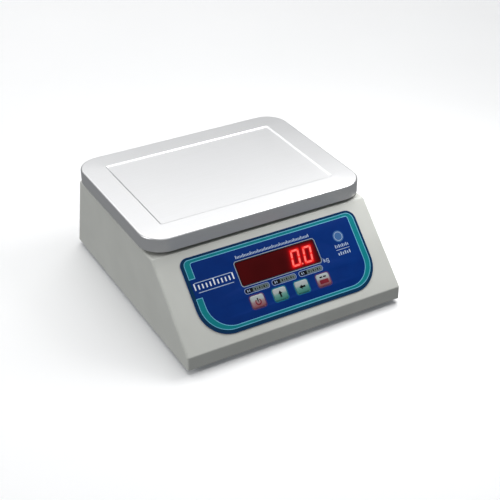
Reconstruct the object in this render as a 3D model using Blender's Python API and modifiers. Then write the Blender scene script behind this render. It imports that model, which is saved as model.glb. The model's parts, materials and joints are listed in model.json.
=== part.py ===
"""Counting scale with a stainless weighing pan on a wedge-shaped sheet-steel body.

Frame: +X to the operator's right, +Y to the back, +Z up.  The origin is on the bench,
under the middle of the scale's bounding box.  Lengths are in metres.
"""
import math

import bmesh
import bpy
from mathutils import Matrix, Vector

# ---------------------------------------------------------------- driving dimensions
BODY_WIDTH = 0.2940
BODY_DEPTH = 0.3279
BODY_HEIGHT = 0.1009
BODY_CLEARANCE = 0.0070        # bench to the body's lower edge
LIP_HEIGHT = 0.0171            # upright lip below the sloping fascia
TOP_FRONT = 0.0869             # front edge of the flat top, from the body's front
TOP_BACK = 0.3034              # back edge of the flat top, from the body's front
SHEET = 0.0012                 # cover sheet thickness
FOLD_RADIUS = 0.0030
GAP = 0.0003                   # between pieces that touch

PAN_WIDTH = 0.3000
PAN_DEPTH = 0.2250
PAN_FRONT = 0.0865             # front edge of the pan, from the body's front
PAN_TOP = 0.1244               # above the body's lower edge
PAN_SKIRT = 0.0189
PAN_SHEET = 0.0010
PAN_CORNER = 0.0300
PAN_EDGE_RADIUS = 0.0025
RECESS_INSET = 0.0305          # pan edge to the start of the pressed step
RECESS_SLOPE = 0.0024
RECESS_DEPTH = 0.0013
RECESS_CORNER = 0.0045

BASE_SHEET = 0.0015
FOOT_X, FOOT_Y = 0.1170, 0.1340
FOOT_RADIUS = 0.0110
STUD_RADIUS = 0.0040
FOOT_PAD_HEIGHT = 0.0055
FOOT_NUT_RADIUS = 0.0075
FOOT_NUT_HEIGHT = 0.0065
FOOT_TRAVEL = 0.0060           # how far a foot can be screwed down
STUD_SPARE = 0.0085            # stud left above the nut when the foot is down

SCREW_RADIUS = 0.0020
SCREW_HEAD = (0.0040, 0.0024)  # radius and height
SCREW_REACH = 0.0080           # shank above the floor plate
SCREW_Y = 0.1000
RAIL_LEG = 0.0130
RAIL_SHEET = 0.0015
RAIL_HALF_LENGTH = 0.1150

OVERLAY_LEFT, OVERLAY_RIGHT = -0.1170, 0.1240
OVERLAY_TOP, OVERLAY_BOTTOM = -0.0093, -0.1100     # down the fascia from its upper fold
OVERLAY_CORNERS = (0.0100, 0.0130, 0.0370, 0.0380)  # upper left, upper right, lower right, lower left
OVERLAY_THICKNESS = 0.0008

WINDOW_CENTRE = (0.0025, -0.0465)
WINDOW_SIZE = (0.1080, 0.0290)
WINDOW_CORNER = 0.0022
DIGIT_CENTRE_Y = -0.0470
DIGIT_PITCH = 0.0172
DIGIT_COUNT = 6
LED_HALF_HEIGHT = 0.0130
LED_SETBACK = 0.0008           # behind the window's back
LED_SHIFT = 0.0004             # the row of modules sits a little right of the middle
LED_CLEARANCE = 0.0001
DISPLAY_BOARD_LOW, DISPLAY_BOARD_HIGH = (-0.0600, -0.0970), (0.0640, -0.0290)
DISPLAY_SPACER_RADIUS = 0.0025
DISPLAY_SPACER_INSET = (0.0035, 0.0040)

KEY_SIZE = (0.0175, 0.0150)
KEY_CORNER = 0.0025
KEY_CENTRE = (0.0049, -0.0832)
KEY_PITCH = 0.0303
KEY_CAP = 0.0010
KEY_TRAVEL = 0.0006
KEY_HOLE_RADIUS = 0.0036
PLUNGER_RADIUS = 0.0029
KEY_SWITCH_HALF = 0.0030
KEY_SWITCH_HEIGHT = 0.0036
KEY_STEM_RADIUS = 0.0017
JOIN = 0.0004                  # how far two joined solids reach into each other

CELL_SIZE = (0.1300, 0.0300, 0.0220)
CELL_BOTTOM = 0.0166
CELL_BOLT_OFFSET = 0.0500      # middle of each bolt pair from the cell's centre
CELL_BOLT_PITCH = 0.0150
BOLT_RADIUS = 0.0030
BOLT_HOLE_RADIUS = 0.0034
LOWER_BOLT_HEAD = (0.0052, 0.0040)
UPPER_BOLT_HEAD = (0.0050, 0.0060)
LOWER_BOLT_MARGIN = 0.0040     # bolt tip below the cell's top
UPPER_BOLT_MARGIN = 0.0070     # bolt tip above the cell's underside
BLOCK_SIZE = (0.0300, 0.0300)
FLEXURE_RADIUS = 0.0072
FLEXURE_OFFSET = 0.0080
FLEXURE_SLOT = 0.0060
STOP_GAP = 0.0005              # overload stop to the cell
STOP_RADIUS = 0.0030
STOP_NUT = (0.0055, 0.0040)
PLATFORM_TRAVEL = 0.0004       # how far a full load sinks the platform
POST_SIZE = (0.0270, 0.0200)
POST_OPENING = (0.0320, 0.0250)
SPIDER_THICKNESS = 0.0080
SPIDER_REACH = (0.1050, 0.0720)
SPIDER_HUB = (0.1500, 0.0440)
SPIDER_ARM_WIDTH = 0.0220
SPIDER_ARM_OVERRUN = 0.0120
SPIDER_CLEARANCE = 0.0045      # cover's top to the spider
CUSHION_RADIUS = 0.0090

BATTERY_SIZE = (0.1010, 0.0470, 0.0700)
BATTERY_CENTRE = (-0.0795, 0.0935)
STRAP_SHEET = 0.0010
STRAP_FLANGE = 0.0085
STRAP_HALF_WIDTH = 0.0090
MAIN_BOARD_CENTRE = (0.0575, 0.1000)
MAIN_BOARD_SIZE = (0.0850, 0.0800, 0.0016)
MAIN_BOARD_Z = 0.0160
MAIN_SPACER_RADIUS = 0.0030
MAIN_SPACER_INSET = 0.0050

SWITCH_PLACE = (-0.1000, 0.0450)   # across and up the back wall
SWITCH_BEZEL = (0.0210, 0.0150)
SWITCH_BEZEL_HEIGHT = 0.0020
SWITCH_BODY = (0.0190, 0.0130)
SWITCH_DEPTH = 0.0150
SWITCH_WELL_DEPTH = 0.0060
ROCKER_SIZE = (0.0150, 0.0086)
ROCKER_TILT = math.radians(9)
ROCKER_SWING = 0.0008          # well length beyond each end of the rocker
ROCKER_BACK, ROCKER_FACE = -0.0015, 0.0026     # from the pivot line
TRUNNION_RADIUS = 0.0010
TRUNNION_END = 0.0086          # trunnion tip from the rocker's middle
TRUNNION_GAP = 0.0002          # all round a trunnion in its bearing
SOCKET_PLACE = (-0.0650, 0.0450)
SOCKET_RADIUS = 0.0055
SOCKET_DEPTH = 0.0120

LOAD_CELL_CABLE_RADIUS = 0.0020
DISPLAY_CABLE_RADIUS = 0.0025
POWER_LEAD_RADIUS = 0.0020
CABLE_END_GAP = 0.0005         # from a lead's end to the part it joins

# ---------------------------------------------------------------- derived places
FRONT = -BODY_DEPTH / 2
BODY_BOTTOM = BODY_CLEARANCE
BODY_TOP = BODY_CLEARANCE + BODY_HEIGHT
FLOOR_TOP = BODY_BOTTOM + BASE_SHEET + GAP
FASCIA_RISE = BODY_HEIGHT - LIP_HEIGHT
FASCIA_ANGLE = math.atan2(FASCIA_RISE, TOP_FRONT)
BACK_LEAN = math.atan2(BODY_DEPTH - TOP_BACK, BODY_HEIGHT)
PAN_Y = FRONT + PAN_FRONT + PAN_DEPTH / 2
PAN_Z = BODY_BOTTOM + PAN_TOP
STUD_TOP = FLOOR_TOP + FOOT_NUT_HEIGHT + FOOT_TRAVEL + STUD_SPARE
CELL_TOP = CELL_BOTTOM + CELL_SIZE[2]
POST_BOTTOM = CELL_TOP + PLATFORM_TRAVEL + GAP
SPIDER_BOTTOM = BODY_TOP + SPIDER_CLEARANCE
SPIDER_TOP = SPIDER_BOTTOM + SPIDER_THICKNESS
PAN_UNDERSIDE = PAN_Z - RECESS_DEPTH - PAN_SHEET
WINDOW_BACK = -0.0010
LED_BACK = -0.0100
SWITCH_STEM_TOP = -0.0043
BOARD_THICKNESS = 0.0016
BOARD_BACK = LED_BACK - GAP - BOARD_THICKNESS

CORNERS = [(sx, sy) for sy in (-1, 1) for sx in (-1, 1)]


# ---------------------------------------------------------------- scene and materials
def new_scene():
    for obj in list(bpy.data.objects):
        bpy.data.objects.remove(obj, do_unlink=True)


def collection(name):
    made = bpy.data.collections.new(name)
    bpy.context.scene.collection.children.link(made)
    return made


def material(name, colour, roughness, metallic=0.0):
    made = bpy.data.materials.new(name)
    made.use_nodes = True
    shader = made.node_tree.nodes["Principled BSDF"]
    shader.inputs["Base Color"].default_value = (*colour, 1.0)
    shader.inputs["Roughness"].default_value = roughness
    shader.inputs["Metallic"].default_value = metallic
    return made


new_scene()
SCALE = collection("counting_scale")
CUTTERS = collection("cutters")

POWDER_COAT = material("light grey powder coat", (0.62, 0.62, 0.58), 0.55)
STAINLESS = material("satin stainless steel", (0.66, 0.66, 0.65), 0.35, 1.0)
ZINC = material("zinc-plated steel", (0.60, 0.61, 0.63), 0.40, 1.0)
GALVANISED = material("galvanised sheet", (0.45, 0.46, 0.48), 0.50, 1.0)
MEMBRANE = material("printed blue membrane", (0.0, 0.03, 0.16), 0.35)
RED_FILTER = material("red filter acrylic", (0.08, 0.0, 0.0), 0.10)
KEY_PLASTIC = material("moulded key", (0.75, 0.80, 0.76), 0.40)
LED_PLASTIC = material("led module", (0.02, 0.02, 0.02), 0.50)
CIRCUIT_GREEN = material("circuit board", (0.02, 0.14, 0.05), 0.50)
BLACK_PLASTIC = material("black plastic", (0.02, 0.02, 0.02), 0.45)
RUBBER = material("black rubber", (0.015, 0.015, 0.015), 0.80)
ALUMINIUM = material("aluminium", (0.72, 0.73, 0.74), 0.35, 1.0)
CASTING = material("cast aluminium", (0.48, 0.49, 0.50), 0.55, 1.0)
CABLE_GREY = material("grey cable", (0.18, 0.18, 0.19), 0.55)


# ---------------------------------------------------------------- modelling helpers
def frame_empty(name, origin, x_axis, y_axis, z_axis):
    """An empty whose axes carry the pieces that lie on one sloping face."""
    empty = bpy.data.objects.new(name, None)
    turn = Matrix((x_axis, y_axis, z_axis)).transposed().to_4x4()
    empty.matrix_world = Matrix.Translation(origin) @ turn
    SCALE.objects.link(empty)
    bpy.context.view_layer.update()
    return empty


def finish(obj, look, parent=None, smooth=False):
    """Give a piece its material, its place in the collection and its parent."""
    if obj.name not in SCALE.objects:
        SCALE.objects.link(obj)
    if obj.type == "MESH" and smooth:
        obj.data.shade_smooth()
        obj.data.set_sharp_from_angle(angle=math.radians(35))
    obj.data.materials.append(look)
    obj.parent = parent
    return obj


def mesh_object(name, build):
    """A mesh object whose geometry build(bm) makes."""
    bm = bmesh.new()
    build(bm)
    bmesh.ops.recalc_face_normals(bm, faces=bm.faces)
    mesh = bpy.data.meshes.new(name)
    bm.to_mesh(mesh)
    bm.free()
    return bpy.data.objects.new(name, mesh)


def box_object(name, low, high):
    """A box between two corners, with its origin at its middle."""
    low, high = Vector(low), Vector(high)

    def build(bm):
        bmesh.ops.create_cube(bm, size=1.0)
        bmesh.ops.scale(bm, vec=high - low, verts=bm.verts)

    obj = mesh_object(name, build)
    obj.location = (low + high) / 2
    return obj


def cylinder_object(name, radius, low, high, place, sides=24):
    """An upright cylinder from height low to height high at (x, y)."""
    def build(bm):
        bmesh.ops.create_cone(
            bm, cap_ends=True, segments=sides, radius1=radius, radius2=radius, depth=high - low)

    obj = mesh_object(name, build)
    obj.location = (place[0], place[1], (low + high) / 2)
    return obj


def box(name, low, high, look, parent=None, bevel=0.0):
    obj = finish(box_object(name, low, high), look, parent)
    if bevel:
        rounded(obj, bevel, 2)
    return obj


def cylinder(name, radius, low, high, place, look, parent=None, sides=24):
    return finish(cylinder_object(name, radius, low, high, place, sides), look, parent, smooth=True)


def rounded(obj, width, segments):
    bevel = obj.modifiers.new("rounded edges", "BEVEL")
    bevel.width = width
    bevel.segments = segments
    bevel.limit_method = "ANGLE"
    bevel.angle_limit = math.radians(30)


def walls(obj, thickness):
    """Give an outer surface its wall thickness, inwards."""
    shell = obj.modifiers.new("sheet thickness", "SOLIDIFY")
    shell.thickness = thickness
    shell.offset = -1.0
    shell.use_even_offset = True


def boolean(obj, tool, operation="DIFFERENCE", parent=None):
    """Cut a piece with a hidden tool, or join the tool to it."""
    CUTTERS.objects.link(tool)
    tool.parent = parent
    tool.hide_render = True
    tool.display_type = "WIRE"
    modifier = obj.modifiers.new(tool.name, "BOOLEAN")
    modifier.operation = operation
    modifier.solver = "EXACT"
    modifier.object = tool


def drill(obj, name, radius, low, high, place, parent=None, sides=20):
    boolean(obj, cylinder_object(name, radius, low, high, place, sides), parent=parent)


def turned(name, profile, look, place, parent=None, steps=24):
    """A solid of revolution about its own Z from (radius, height) points, top to bottom."""
    mesh = bpy.data.meshes.new(name)
    points = [(radius, 0.0, height) for radius, height in profile]
    mesh.from_pydata(points, [(i, i + 1) for i in range(len(points) - 1)], [])
    obj = bpy.data.objects.new(name, mesh)
    obj.location = place
    screw = obj.modifiers.new("turned", "SCREW")
    screw.axis = "Z"
    screw.steps = steps
    screw.render_steps = steps
    screw.use_merge_vertices = True
    screw.merge_threshold = 0.00001
    screw.use_smooth_shade = True
    return finish(obj, look, parent)


def rounded_rectangle(width, depth, radii, segments):
    """Outline points, anticlockwise from the upper right corner; radii go UL, UR, LR, LL."""
    upper_left, upper_right, lower_right, lower_left = radii
    corners = (
        (1, 1, upper_right, 0), (-1, 1, upper_left, 90), (-1, -1, lower_left, 180), (1, -1, lower_right, 270))
    points = []
    for sx, sy, radius, start in corners:
        centre_x = sx * (width / 2 - radius)
        centre_y = sy * (depth / 2 - radius)
        for step in range(segments + 1):
            angle = math.radians(start + 90 * step / segments)
            points.append((centre_x + radius * math.cos(angle), centre_y + radius * math.sin(angle)))
    return points


def plate(name, outlines, bottom, thickness, look, parent=None):
    """A flat plate from closed outlines; outlines inside the first are holes."""
    curve = bpy.data.curves.new(name, "CURVE")
    curve.dimensions = "2D"
    curve.fill_mode = "BOTH"
    curve.extrude = thickness / 2
    for outline in outlines:
        spline = curve.splines.new("POLY")
        spline.points.add(len(outline) - 1)
        for point, (x, y) in zip(spline.points, outline):
            point.co = (x, y, 0.0, 1.0)
        spline.use_cyclic_u = True
    obj = bpy.data.objects.new(name, curve)
    obj.location = (0.0, 0.0, bottom + thickness / 2)
    return finish(obj, look, parent)


def moved(outline, centre):
    return [(x + centre[0], y + centre[1]) for x, y in outline]


def folded_strip(name, section, low_x, high_x, thickness, look):
    """A strip of sheet whose (y, z) section is carried from low_x to high_x."""
    def build(bm):
        rows = [[bm.verts.new((x, y, z)) for y, z in section] for x in (low_x, high_x)]
        for i in range(len(section) - 1):
            bm.faces.new((rows[0][i], rows[1][i], rows[1][i + 1], rows[0][i + 1]))

    obj = finish(mesh_object(name, build), look)
    walls(obj, thickness)
    return obj


def smooth_route(points, steps):
    """Points on a Catmull-Rom curve through the route's own points."""
    points = [Vector(point) for point in points]
    ends = [2 * points[0] - points[1], *points, 2 * points[-1] - points[-2]]
    route = []
    for a, b, c, d in zip(ends, ends[1:], ends[2:], ends[3:]):
        for step in range(steps):
            t = step / steps
            route.append(0.5 * (
                2 * b + (c - a) * t + (2 * a - 5 * b + 4 * c - d) * t ** 2
                + (3 * b - a - 3 * c + d) * t ** 3))
    return route + [points[-1]]


def cable(name, points, radius, look):
    route = smooth_route(points, 4)
    curve = bpy.data.curves.new(name, "CURVE")
    curve.dimensions = "3D"
    curve.bevel_depth = radius
    curve.bevel_resolution = 2
    curve.use_fill_caps = True
    spline = curve.splines.new("POLY")
    spline.points.add(len(route) - 1)
    for point, place in zip(spline.points, route):
        point.co = (*place, 1.0)
    return finish(bpy.data.objects.new(name, curve), look)


# ---------------------------------------------------------------- frames on the sloping faces
FASCIA = frame_empty(
    "fascia_frame", (0.0, FRONT + TOP_FRONT, BODY_TOP), (1, 0, 0),
    (0, math.cos(FASCIA_ANGLE), math.sin(FASCIA_ANGLE)),
    (0, -math.sin(FASCIA_ANGLE), math.cos(FASCIA_ANGLE)))
BACK = frame_empty(
    "back_frame", (0.0, BODY_DEPTH / 2, BODY_BOTTOM), (-1, 0, 0),
    (0, -math.sin(BACK_LEAN), math.cos(BACK_LEAN)),
    (0, math.cos(BACK_LEAN), math.sin(BACK_LEAN)))


# ---------------------------------------------------------------- housing
def housing_cover():
    """Wedge-shaped folded cover, open below, with the openings for what passes through it."""
    section = [
        (FRONT, BODY_BOTTOM), (FRONT, BODY_BOTTOM + LIP_HEIGHT), (FRONT + TOP_FRONT, BODY_TOP),
        (FRONT + TOP_BACK, BODY_TOP), (FRONT + BODY_DEPTH, BODY_BOTTOM)]

    def build(bm):
        sides = [[bm.verts.new((x, y, z)) for y, z in section]
                 for x in (-BODY_WIDTH / 2, BODY_WIDTH / 2)]
        for i in range(len(section) - 1):
            bm.faces.new((sides[0][i], sides[1][i], sides[1][i + 1], sides[0][i + 1]))
        for side in sides:
            bm.faces.new(side)

    cover = finish(mesh_object("housing_cover", build), POWDER_COAT)
    rounded(cover, FOLD_RADIUS, 3)
    walls(cover, SHEET)
    boolean(cover, box_object(
        "lower_rim_trim", (-BODY_WIDTH, -BODY_DEPTH, 0.0), (BODY_WIDTH, BODY_DEPTH, BODY_BOTTOM)))

    post_x = CELL_BOLT_OFFSET
    half_x, half_y = POST_OPENING[0] / 2, POST_OPENING[1] / 2
    boolean(cover, box_object(
        "post_opening", (post_x - half_x, PAN_Y - half_y, BODY_TOP - 0.01),
        (post_x + half_x, PAN_Y + half_y, BODY_TOP + 0.01)))

    half_x, half_y = WINDOW_SIZE[0] / 2 + GAP, WINDOW_SIZE[1] / 2 + GAP
    boolean(cover, box_object(
        "window_opening", (WINDOW_CENTRE[0] - half_x, WINDOW_CENTRE[1] - half_y, -0.01),
        (WINDOW_CENTRE[0] + half_x, WINDOW_CENTRE[1] + half_y, 0.01)), parent=FASCIA)
    for number, x in enumerate(key_places(), 1):
        drill(cover, f"plunger_hole_{number}", KEY_HOLE_RADIUS, -0.01, 0.01, (x, KEY_CENTRE[1]), FASCIA)

    half_x, half_y = SWITCH_BODY[0] / 2 + GAP, SWITCH_BODY[1] / 2 + GAP
    boolean(cover, box_object(
        "switch_opening", (SWITCH_PLACE[0] - half_x, SWITCH_PLACE[1] - half_y, -0.01),
        (SWITCH_PLACE[0] + half_x, SWITCH_PLACE[1] + half_y, 0.01)), parent=BACK)
    drill(cover, "socket_hole", SOCKET_RADIUS + GAP, -0.01, 0.01, SOCKET_PLACE, BACK)
    return cover


def base_plate():
    """Flat floor plate inside the cover's lower edge, drilled for everything it carries."""
    half = BODY_WIDTH / 2 - SHEET - 2 * GAP
    margin = SHEET + 3 * GAP
    plate_obj = box(
        "base_plate", (-half, FRONT + margin, BODY_BOTTOM),
        (half, -FRONT - margin, BODY_BOTTOM + BASE_SHEET), GALVANISED)
    low, high = BODY_BOTTOM - 0.005, BODY_BOTTOM + 0.005
    for number, (sx, sy) in enumerate(CORNERS, 1):
        drill(plate_obj, f"stud_hole_{number}", STUD_RADIUS + GAP, low, high, (sx * FOOT_X, sy * FOOT_Y))
        drill(plate_obj, f"screw_hole_{number}", SCREW_RADIUS + GAP, low, high, screw_place(sx, sy))
    for number, x in enumerate(bolt_places(-1), 1):
        drill(plate_obj, f"bolt_hole_{number}", BOLT_HOLE_RADIUS, low, high, (x, PAN_Y))
    return plate_obj


def screw_place(sx, sy):
    return sx * (BODY_WIDTH / 2 - SHEET - GAP - RAIL_LEG / 2), sy * SCREW_Y


def cover_rails():
    """Angle strips welded inside the cover's side walls; the cover screws enter their lower legs."""
    for side, name in ((-1, "cover_rail_left"), (1, "cover_rail_right")):
        wall = side * (BODY_WIDTH / 2 - SHEET - GAP)
        inner = wall - side * RAIL_LEG
        rail = box(
            name, (min(wall, inner), -RAIL_HALF_LENGTH, FLOOR_TOP),
            (max(wall, inner), RAIL_HALF_LENGTH, FLOOR_TOP + RAIL_LEG), GALVANISED)
        cut_wall = wall - side * RAIL_SHEET
        cut_end = inner - side * 0.005
        boolean(rail, box_object(
            name + "_fold", (min(cut_wall, cut_end), -RAIL_HALF_LENGTH - 0.01, FLOOR_TOP + RAIL_SHEET),
            (max(cut_wall, cut_end), RAIL_HALF_LENGTH + 0.01, FLOOR_TOP + RAIL_LEG + 0.01)))
        for end in (-1, 1):
            drill(rail, f"{name}_hole_{end}", SCREW_RADIUS + GAP, 0.0, FLOOR_TOP + 0.005,
                  screw_place(side, end))


def headed_screw(name, place, head_radius, head_height, shank_radius, seat, tip, look, sides=24):
    """A pan-head screw entered from below: its head hangs under the seat, its shank runs up to tip."""
    profile = [
        (0.0, tip), (shank_radius, tip), (shank_radius, seat), (head_radius, seat),
        (head_radius, seat - 0.5 * head_height), (0.75 * head_radius, seat - head_height),
        (0.0, seat - head_height)]
    return turned(name, profile, look, (place[0], place[1], 0.0), steps=sides)


def cover_screws():
    for number, (sx, sy) in enumerate(CORNERS, 1):
        headed_screw(
            f"cover_screw_{number}", screw_place(sx, sy), *SCREW_HEAD, SCREW_RADIUS,
            BODY_BOTTOM - GAP, FLOOR_TOP + SCREW_REACH, ZINC, 16)


# ---------------------------------------------------------------- front panel
def key_places():
    return [KEY_CENTRE[0] + (i - 1.5) * KEY_PITCH for i in range(4)]


def membrane_overlay():
    """Printed membrane stuck on the fascia, open at the display and at each key."""
    width = OVERLAY_RIGHT - OVERLAY_LEFT
    depth = OVERLAY_TOP - OVERLAY_BOTTOM
    centre = ((OVERLAY_LEFT + OVERLAY_RIGHT) / 2, (OVERLAY_TOP + OVERLAY_BOTTOM) / 2)
    outlines = [moved(rounded_rectangle(width, depth, OVERLAY_CORNERS, 8), centre)]
    window = rounded_rectangle(*WINDOW_SIZE, 4 * (WINDOW_CORNER,), 3)
    outlines.append(moved(window, WINDOW_CENTRE))
    opening = rounded_rectangle(
        KEY_SIZE[0] + 2 * GAP, KEY_SIZE[1] + 2 * GAP, 4 * (KEY_CORNER + GAP,), 4)
    for x in key_places():
        outlines.append(moved(opening, (x, KEY_CENTRE[1])))
    return plate("membrane_overlay", outlines, GAP, OVERLAY_THICKNESS, MEMBRANE, FASCIA)


def display_window():
    outline = rounded_rectangle(
        WINDOW_SIZE[0] - 2 * GAP, WINDOW_SIZE[1] - 2 * GAP, 4 * (WINDOW_CORNER - GAP,), 3)
    front = GAP + OVERLAY_THICKNESS - 0.0002
    return plate(
        "display_window", [moved(outline, WINDOW_CENTRE)], WINDOW_BACK, front - WINDOW_BACK,
        RED_FILTER, FASCIA)


def keys():
    """Key caps in the overlay's openings, each on a plunger through the fascia."""
    cap_bottom = KEY_TRAVEL + GAP
    plunger_end = SWITCH_STEM_TOP + KEY_TRAVEL + GAP
    outline = rounded_rectangle(*KEY_SIZE, 4 * (KEY_CORNER,), 4)
    for number, x in enumerate(key_places(), 1):
        def build(bm):
            face = bm.faces.new([bm.verts.new((px, py, 0.0)) for px, py in outline])
            lifted = bmesh.ops.extrude_face_region(bm, geom=[face])
            verts = [item for item in lifted["geom"] if isinstance(item, bmesh.types.BMVert)]
            bmesh.ops.translate(bm, vec=(0, 0, KEY_CAP), verts=verts)

        key = mesh_object(f"key_{number}", build)
        key.location = (x, KEY_CENTRE[1], cap_bottom)
        finish(key, KEY_PLASTIC, FASCIA)
        plunger = cylinder_object(
            f"plunger_{number}", PLUNGER_RADIUS, plunger_end, cap_bottom + JOIN,
            (x, KEY_CENTRE[1]), 16)
        boolean(key, plunger, "UNION", FASCIA)


def key_switches():
    """Tactile switches on the display board, one under each plunger."""
    for number, x in enumerate(key_places(), 1):
        switch = box(
            f"key_switch_{number}", (x - KEY_SWITCH_HALF, KEY_CENTRE[1] - KEY_SWITCH_HALF, LED_BACK),
            (x + KEY_SWITCH_HALF, KEY_CENTRE[1] + KEY_SWITCH_HALF, LED_BACK + KEY_SWITCH_HEIGHT),
            BLACK_PLASTIC, FASCIA)
        stem = cylinder_object(
            f"switch_stem_{number}", KEY_STEM_RADIUS, LED_BACK + KEY_SWITCH_HEIGHT - JOIN,
            SWITCH_STEM_TOP, (x, KEY_CENTRE[1]), 12)
        boolean(switch, stem, "UNION", FASCIA)


def display_electronics():
    """Two three-digit LED modules on a board that hangs behind the fascia on four spacers."""
    front = WINDOW_BACK - LED_SETBACK
    module_width = DIGIT_COUNT * DIGIT_PITCH / 2
    for number, name in enumerate(("led_module_left", "led_module_right")):
        low_x = (number - 1) * module_width + LED_SHIFT
        box(name, (low_x + LED_CLEARANCE, DIGIT_CENTRE_Y - LED_HALF_HEIGHT, LED_BACK),
            (low_x + module_width - GAP, DIGIT_CENTRE_Y + LED_HALF_HEIGHT, front),
            LED_PLASTIC, FASCIA)
    box("display_board", (*DISPLAY_BOARD_LOW, BOARD_BACK),
        (*DISPLAY_BOARD_HIGH, BOARD_BACK + BOARD_THICKNESS), CIRCUIT_GREEN, FASCIA)
    inset_x, inset_y = DISPLAY_SPACER_INSET
    (low_x, low_y), (high_x, high_y) = DISPLAY_BOARD_LOW, DISPLAY_BOARD_HIGH
    places = [(x, y) for y in (high_y - inset_y, low_y + inset_y)
              for x in (low_x + inset_x, high_x - inset_x)]
    for number, place in enumerate(places, 1):
        cylinder(f"display_spacer_{number}", DISPLAY_SPACER_RADIUS, BOARD_BACK + BOARD_THICKNESS + GAP,
                 -SHEET - GAP, place, ZINC, FASCIA, 16)


# ---------------------------------------------------------------- weighing mechanism
def bolt_places(side):
    return [side * CELL_BOLT_OFFSET + offset for offset in (-CELL_BOLT_PITCH / 2, CELL_BOLT_PITCH / 2)]


def load_cell():
    """Single-point cell: an aluminium beam thinned by a double bore across its middle."""
    half_x, half_y = CELL_SIZE[0] / 2, CELL_SIZE[1] / 2
    cell = box(
        "load_cell", (-half_x, PAN_Y - half_y, CELL_BOTTOM), (half_x, PAN_Y + half_y, CELL_TOP), ALUMINIUM)
    middle = CELL_BOTTOM + CELL_SIZE[2] / 2
    through = CELL_SIZE[1]
    for number, x in enumerate((-FLEXURE_OFFSET, FLEXURE_OFFSET), 1):
        bore = cylinder_object(f"flexure_bore_{number}", FLEXURE_RADIUS, -through, through, (0, 0), 20)
        bore.rotation_euler = (math.pi / 2, 0, 0)
        bore.location = (x, PAN_Y, middle)
        boolean(cell, bore)
    boolean(cell, box_object(
        "flexure_slot", (-FLEXURE_OFFSET, PAN_Y - through, middle - FLEXURE_SLOT / 2),
        (FLEXURE_OFFSET, PAN_Y + through, middle + FLEXURE_SLOT / 2)))
    for side in (-1, 1):
        for number, x in enumerate(bolt_places(side), 1):
            drill(cell, f"cell_hole_{side}_{number}", BOLT_HOLE_RADIUS,
                  CELL_BOTTOM - 0.01, CELL_TOP + 0.01, (x, PAN_Y))


def cell_base_block():
    block = box(
        "cell_base_block", (-CELL_SIZE[0] / 2, PAN_Y - BLOCK_SIZE[1] / 2, FLOOR_TOP),
        (-CELL_SIZE[0] / 2 + BLOCK_SIZE[0], PAN_Y + BLOCK_SIZE[1] / 2, CELL_BOTTOM - GAP), ALUMINIUM)
    for number, x in enumerate(bolt_places(-1), 1):
        drill(block, f"block_hole_{number}", BOLT_HOLE_RADIUS, 0.0, CELL_BOTTOM, (x, PAN_Y))


def cell_bolts():
    """Two bolts from below hold the fixed end; two long ones clamp spider, post and free end."""
    for number, x in enumerate(bolt_places(-1), 1):
        headed_screw(
            f"cell_bolt_lower_{number}", (x, PAN_Y), *LOWER_BOLT_HEAD, BOLT_RADIUS,
            BODY_BOTTOM - GAP, CELL_TOP - LOWER_BOLT_MARGIN, ZINC, 12)
    seat, tip = SPIDER_TOP + GAP, CELL_BOTTOM + UPPER_BOLT_MARGIN
    head_radius, head_height = UPPER_BOLT_HEAD
    for number, x in enumerate(bolt_places(1), 1):
        profile = [
            (0.0, seat + head_height), (head_radius, seat + head_height), (head_radius, seat),
            (BOLT_RADIUS, seat), (BOLT_RADIUS, tip), (0.0, tip)]
        turned(f"cell_bolt_upper_{number}", profile, ZINC, (x, PAN_Y, 0.0), steps=16)


def overload_stop():
    """Set screw under the cell's free end, half a millimetre short of it."""
    nut_radius, nut_height = STOP_NUT
    profile = [
        (0.0, CELL_BOTTOM - STOP_GAP), (STOP_RADIUS, CELL_BOTTOM - STOP_GAP),
        (STOP_RADIUS, FLOOR_TOP + nut_height), (nut_radius, FLOOR_TOP + nut_height),
        (nut_radius, FLOOR_TOP), (0.0, FLOOR_TOP)]
    turned("overload_stop", profile, ZINC, (CELL_BOLT_OFFSET, PAN_Y, 0.0), steps=12)


def platform_post():
    """Block that carries the spider above the cover's opening."""
    half_x, half_y = POST_SIZE[0] / 2, POST_SIZE[1] / 2
    post = box(
        "platform_post", (CELL_BOLT_OFFSET - half_x, PAN_Y - half_y, POST_BOTTOM),
        (CELL_BOLT_OFFSET + half_x, PAN_Y + half_y, SPIDER_BOTTOM - GAP), ALUMINIUM)
    for number, x in enumerate(bolt_places(1), 1):
        drill(post, f"post_hole_{number}", BOLT_HOLE_RADIUS, CELL_TOP - 0.01, SPIDER_TOP, (x, PAN_Y), sides=16)


def pan_spider():
    """Cast cross under the pan: a hub plate and two crossing arms."""
    hub = box(
        "pan_spider", (-SPIDER_HUB[0] / 2, PAN_Y - SPIDER_HUB[1] / 2, SPIDER_BOTTOM),
        (SPIDER_HUB[0] / 2, PAN_Y + SPIDER_HUB[1] / 2, SPIDER_TOP), CASTING)
    reach = math.hypot(*SPIDER_REACH) + SPIDER_ARM_OVERRUN
    half = SPIDER_ARM_WIDTH / 2
    turn = math.atan2(SPIDER_REACH[1], SPIDER_REACH[0])
    for number, sign in enumerate((-1, 1), 1):
        arm = box_object(f"arm_{number}", (-reach, -half, SPIDER_BOTTOM), (reach, half, SPIDER_TOP))
        arm.location.y = PAN_Y
        arm.rotation_euler = (0, 0, sign * turn)
        boolean(hub, arm, "UNION")
    for number, x in enumerate(bolt_places(1), 1):
        drill(hub, f"spider_hole_{number}", BOLT_HOLE_RADIUS, SPIDER_BOTTOM - 0.01, SPIDER_TOP + 0.01,
              (x, PAN_Y), sides=16)


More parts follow.
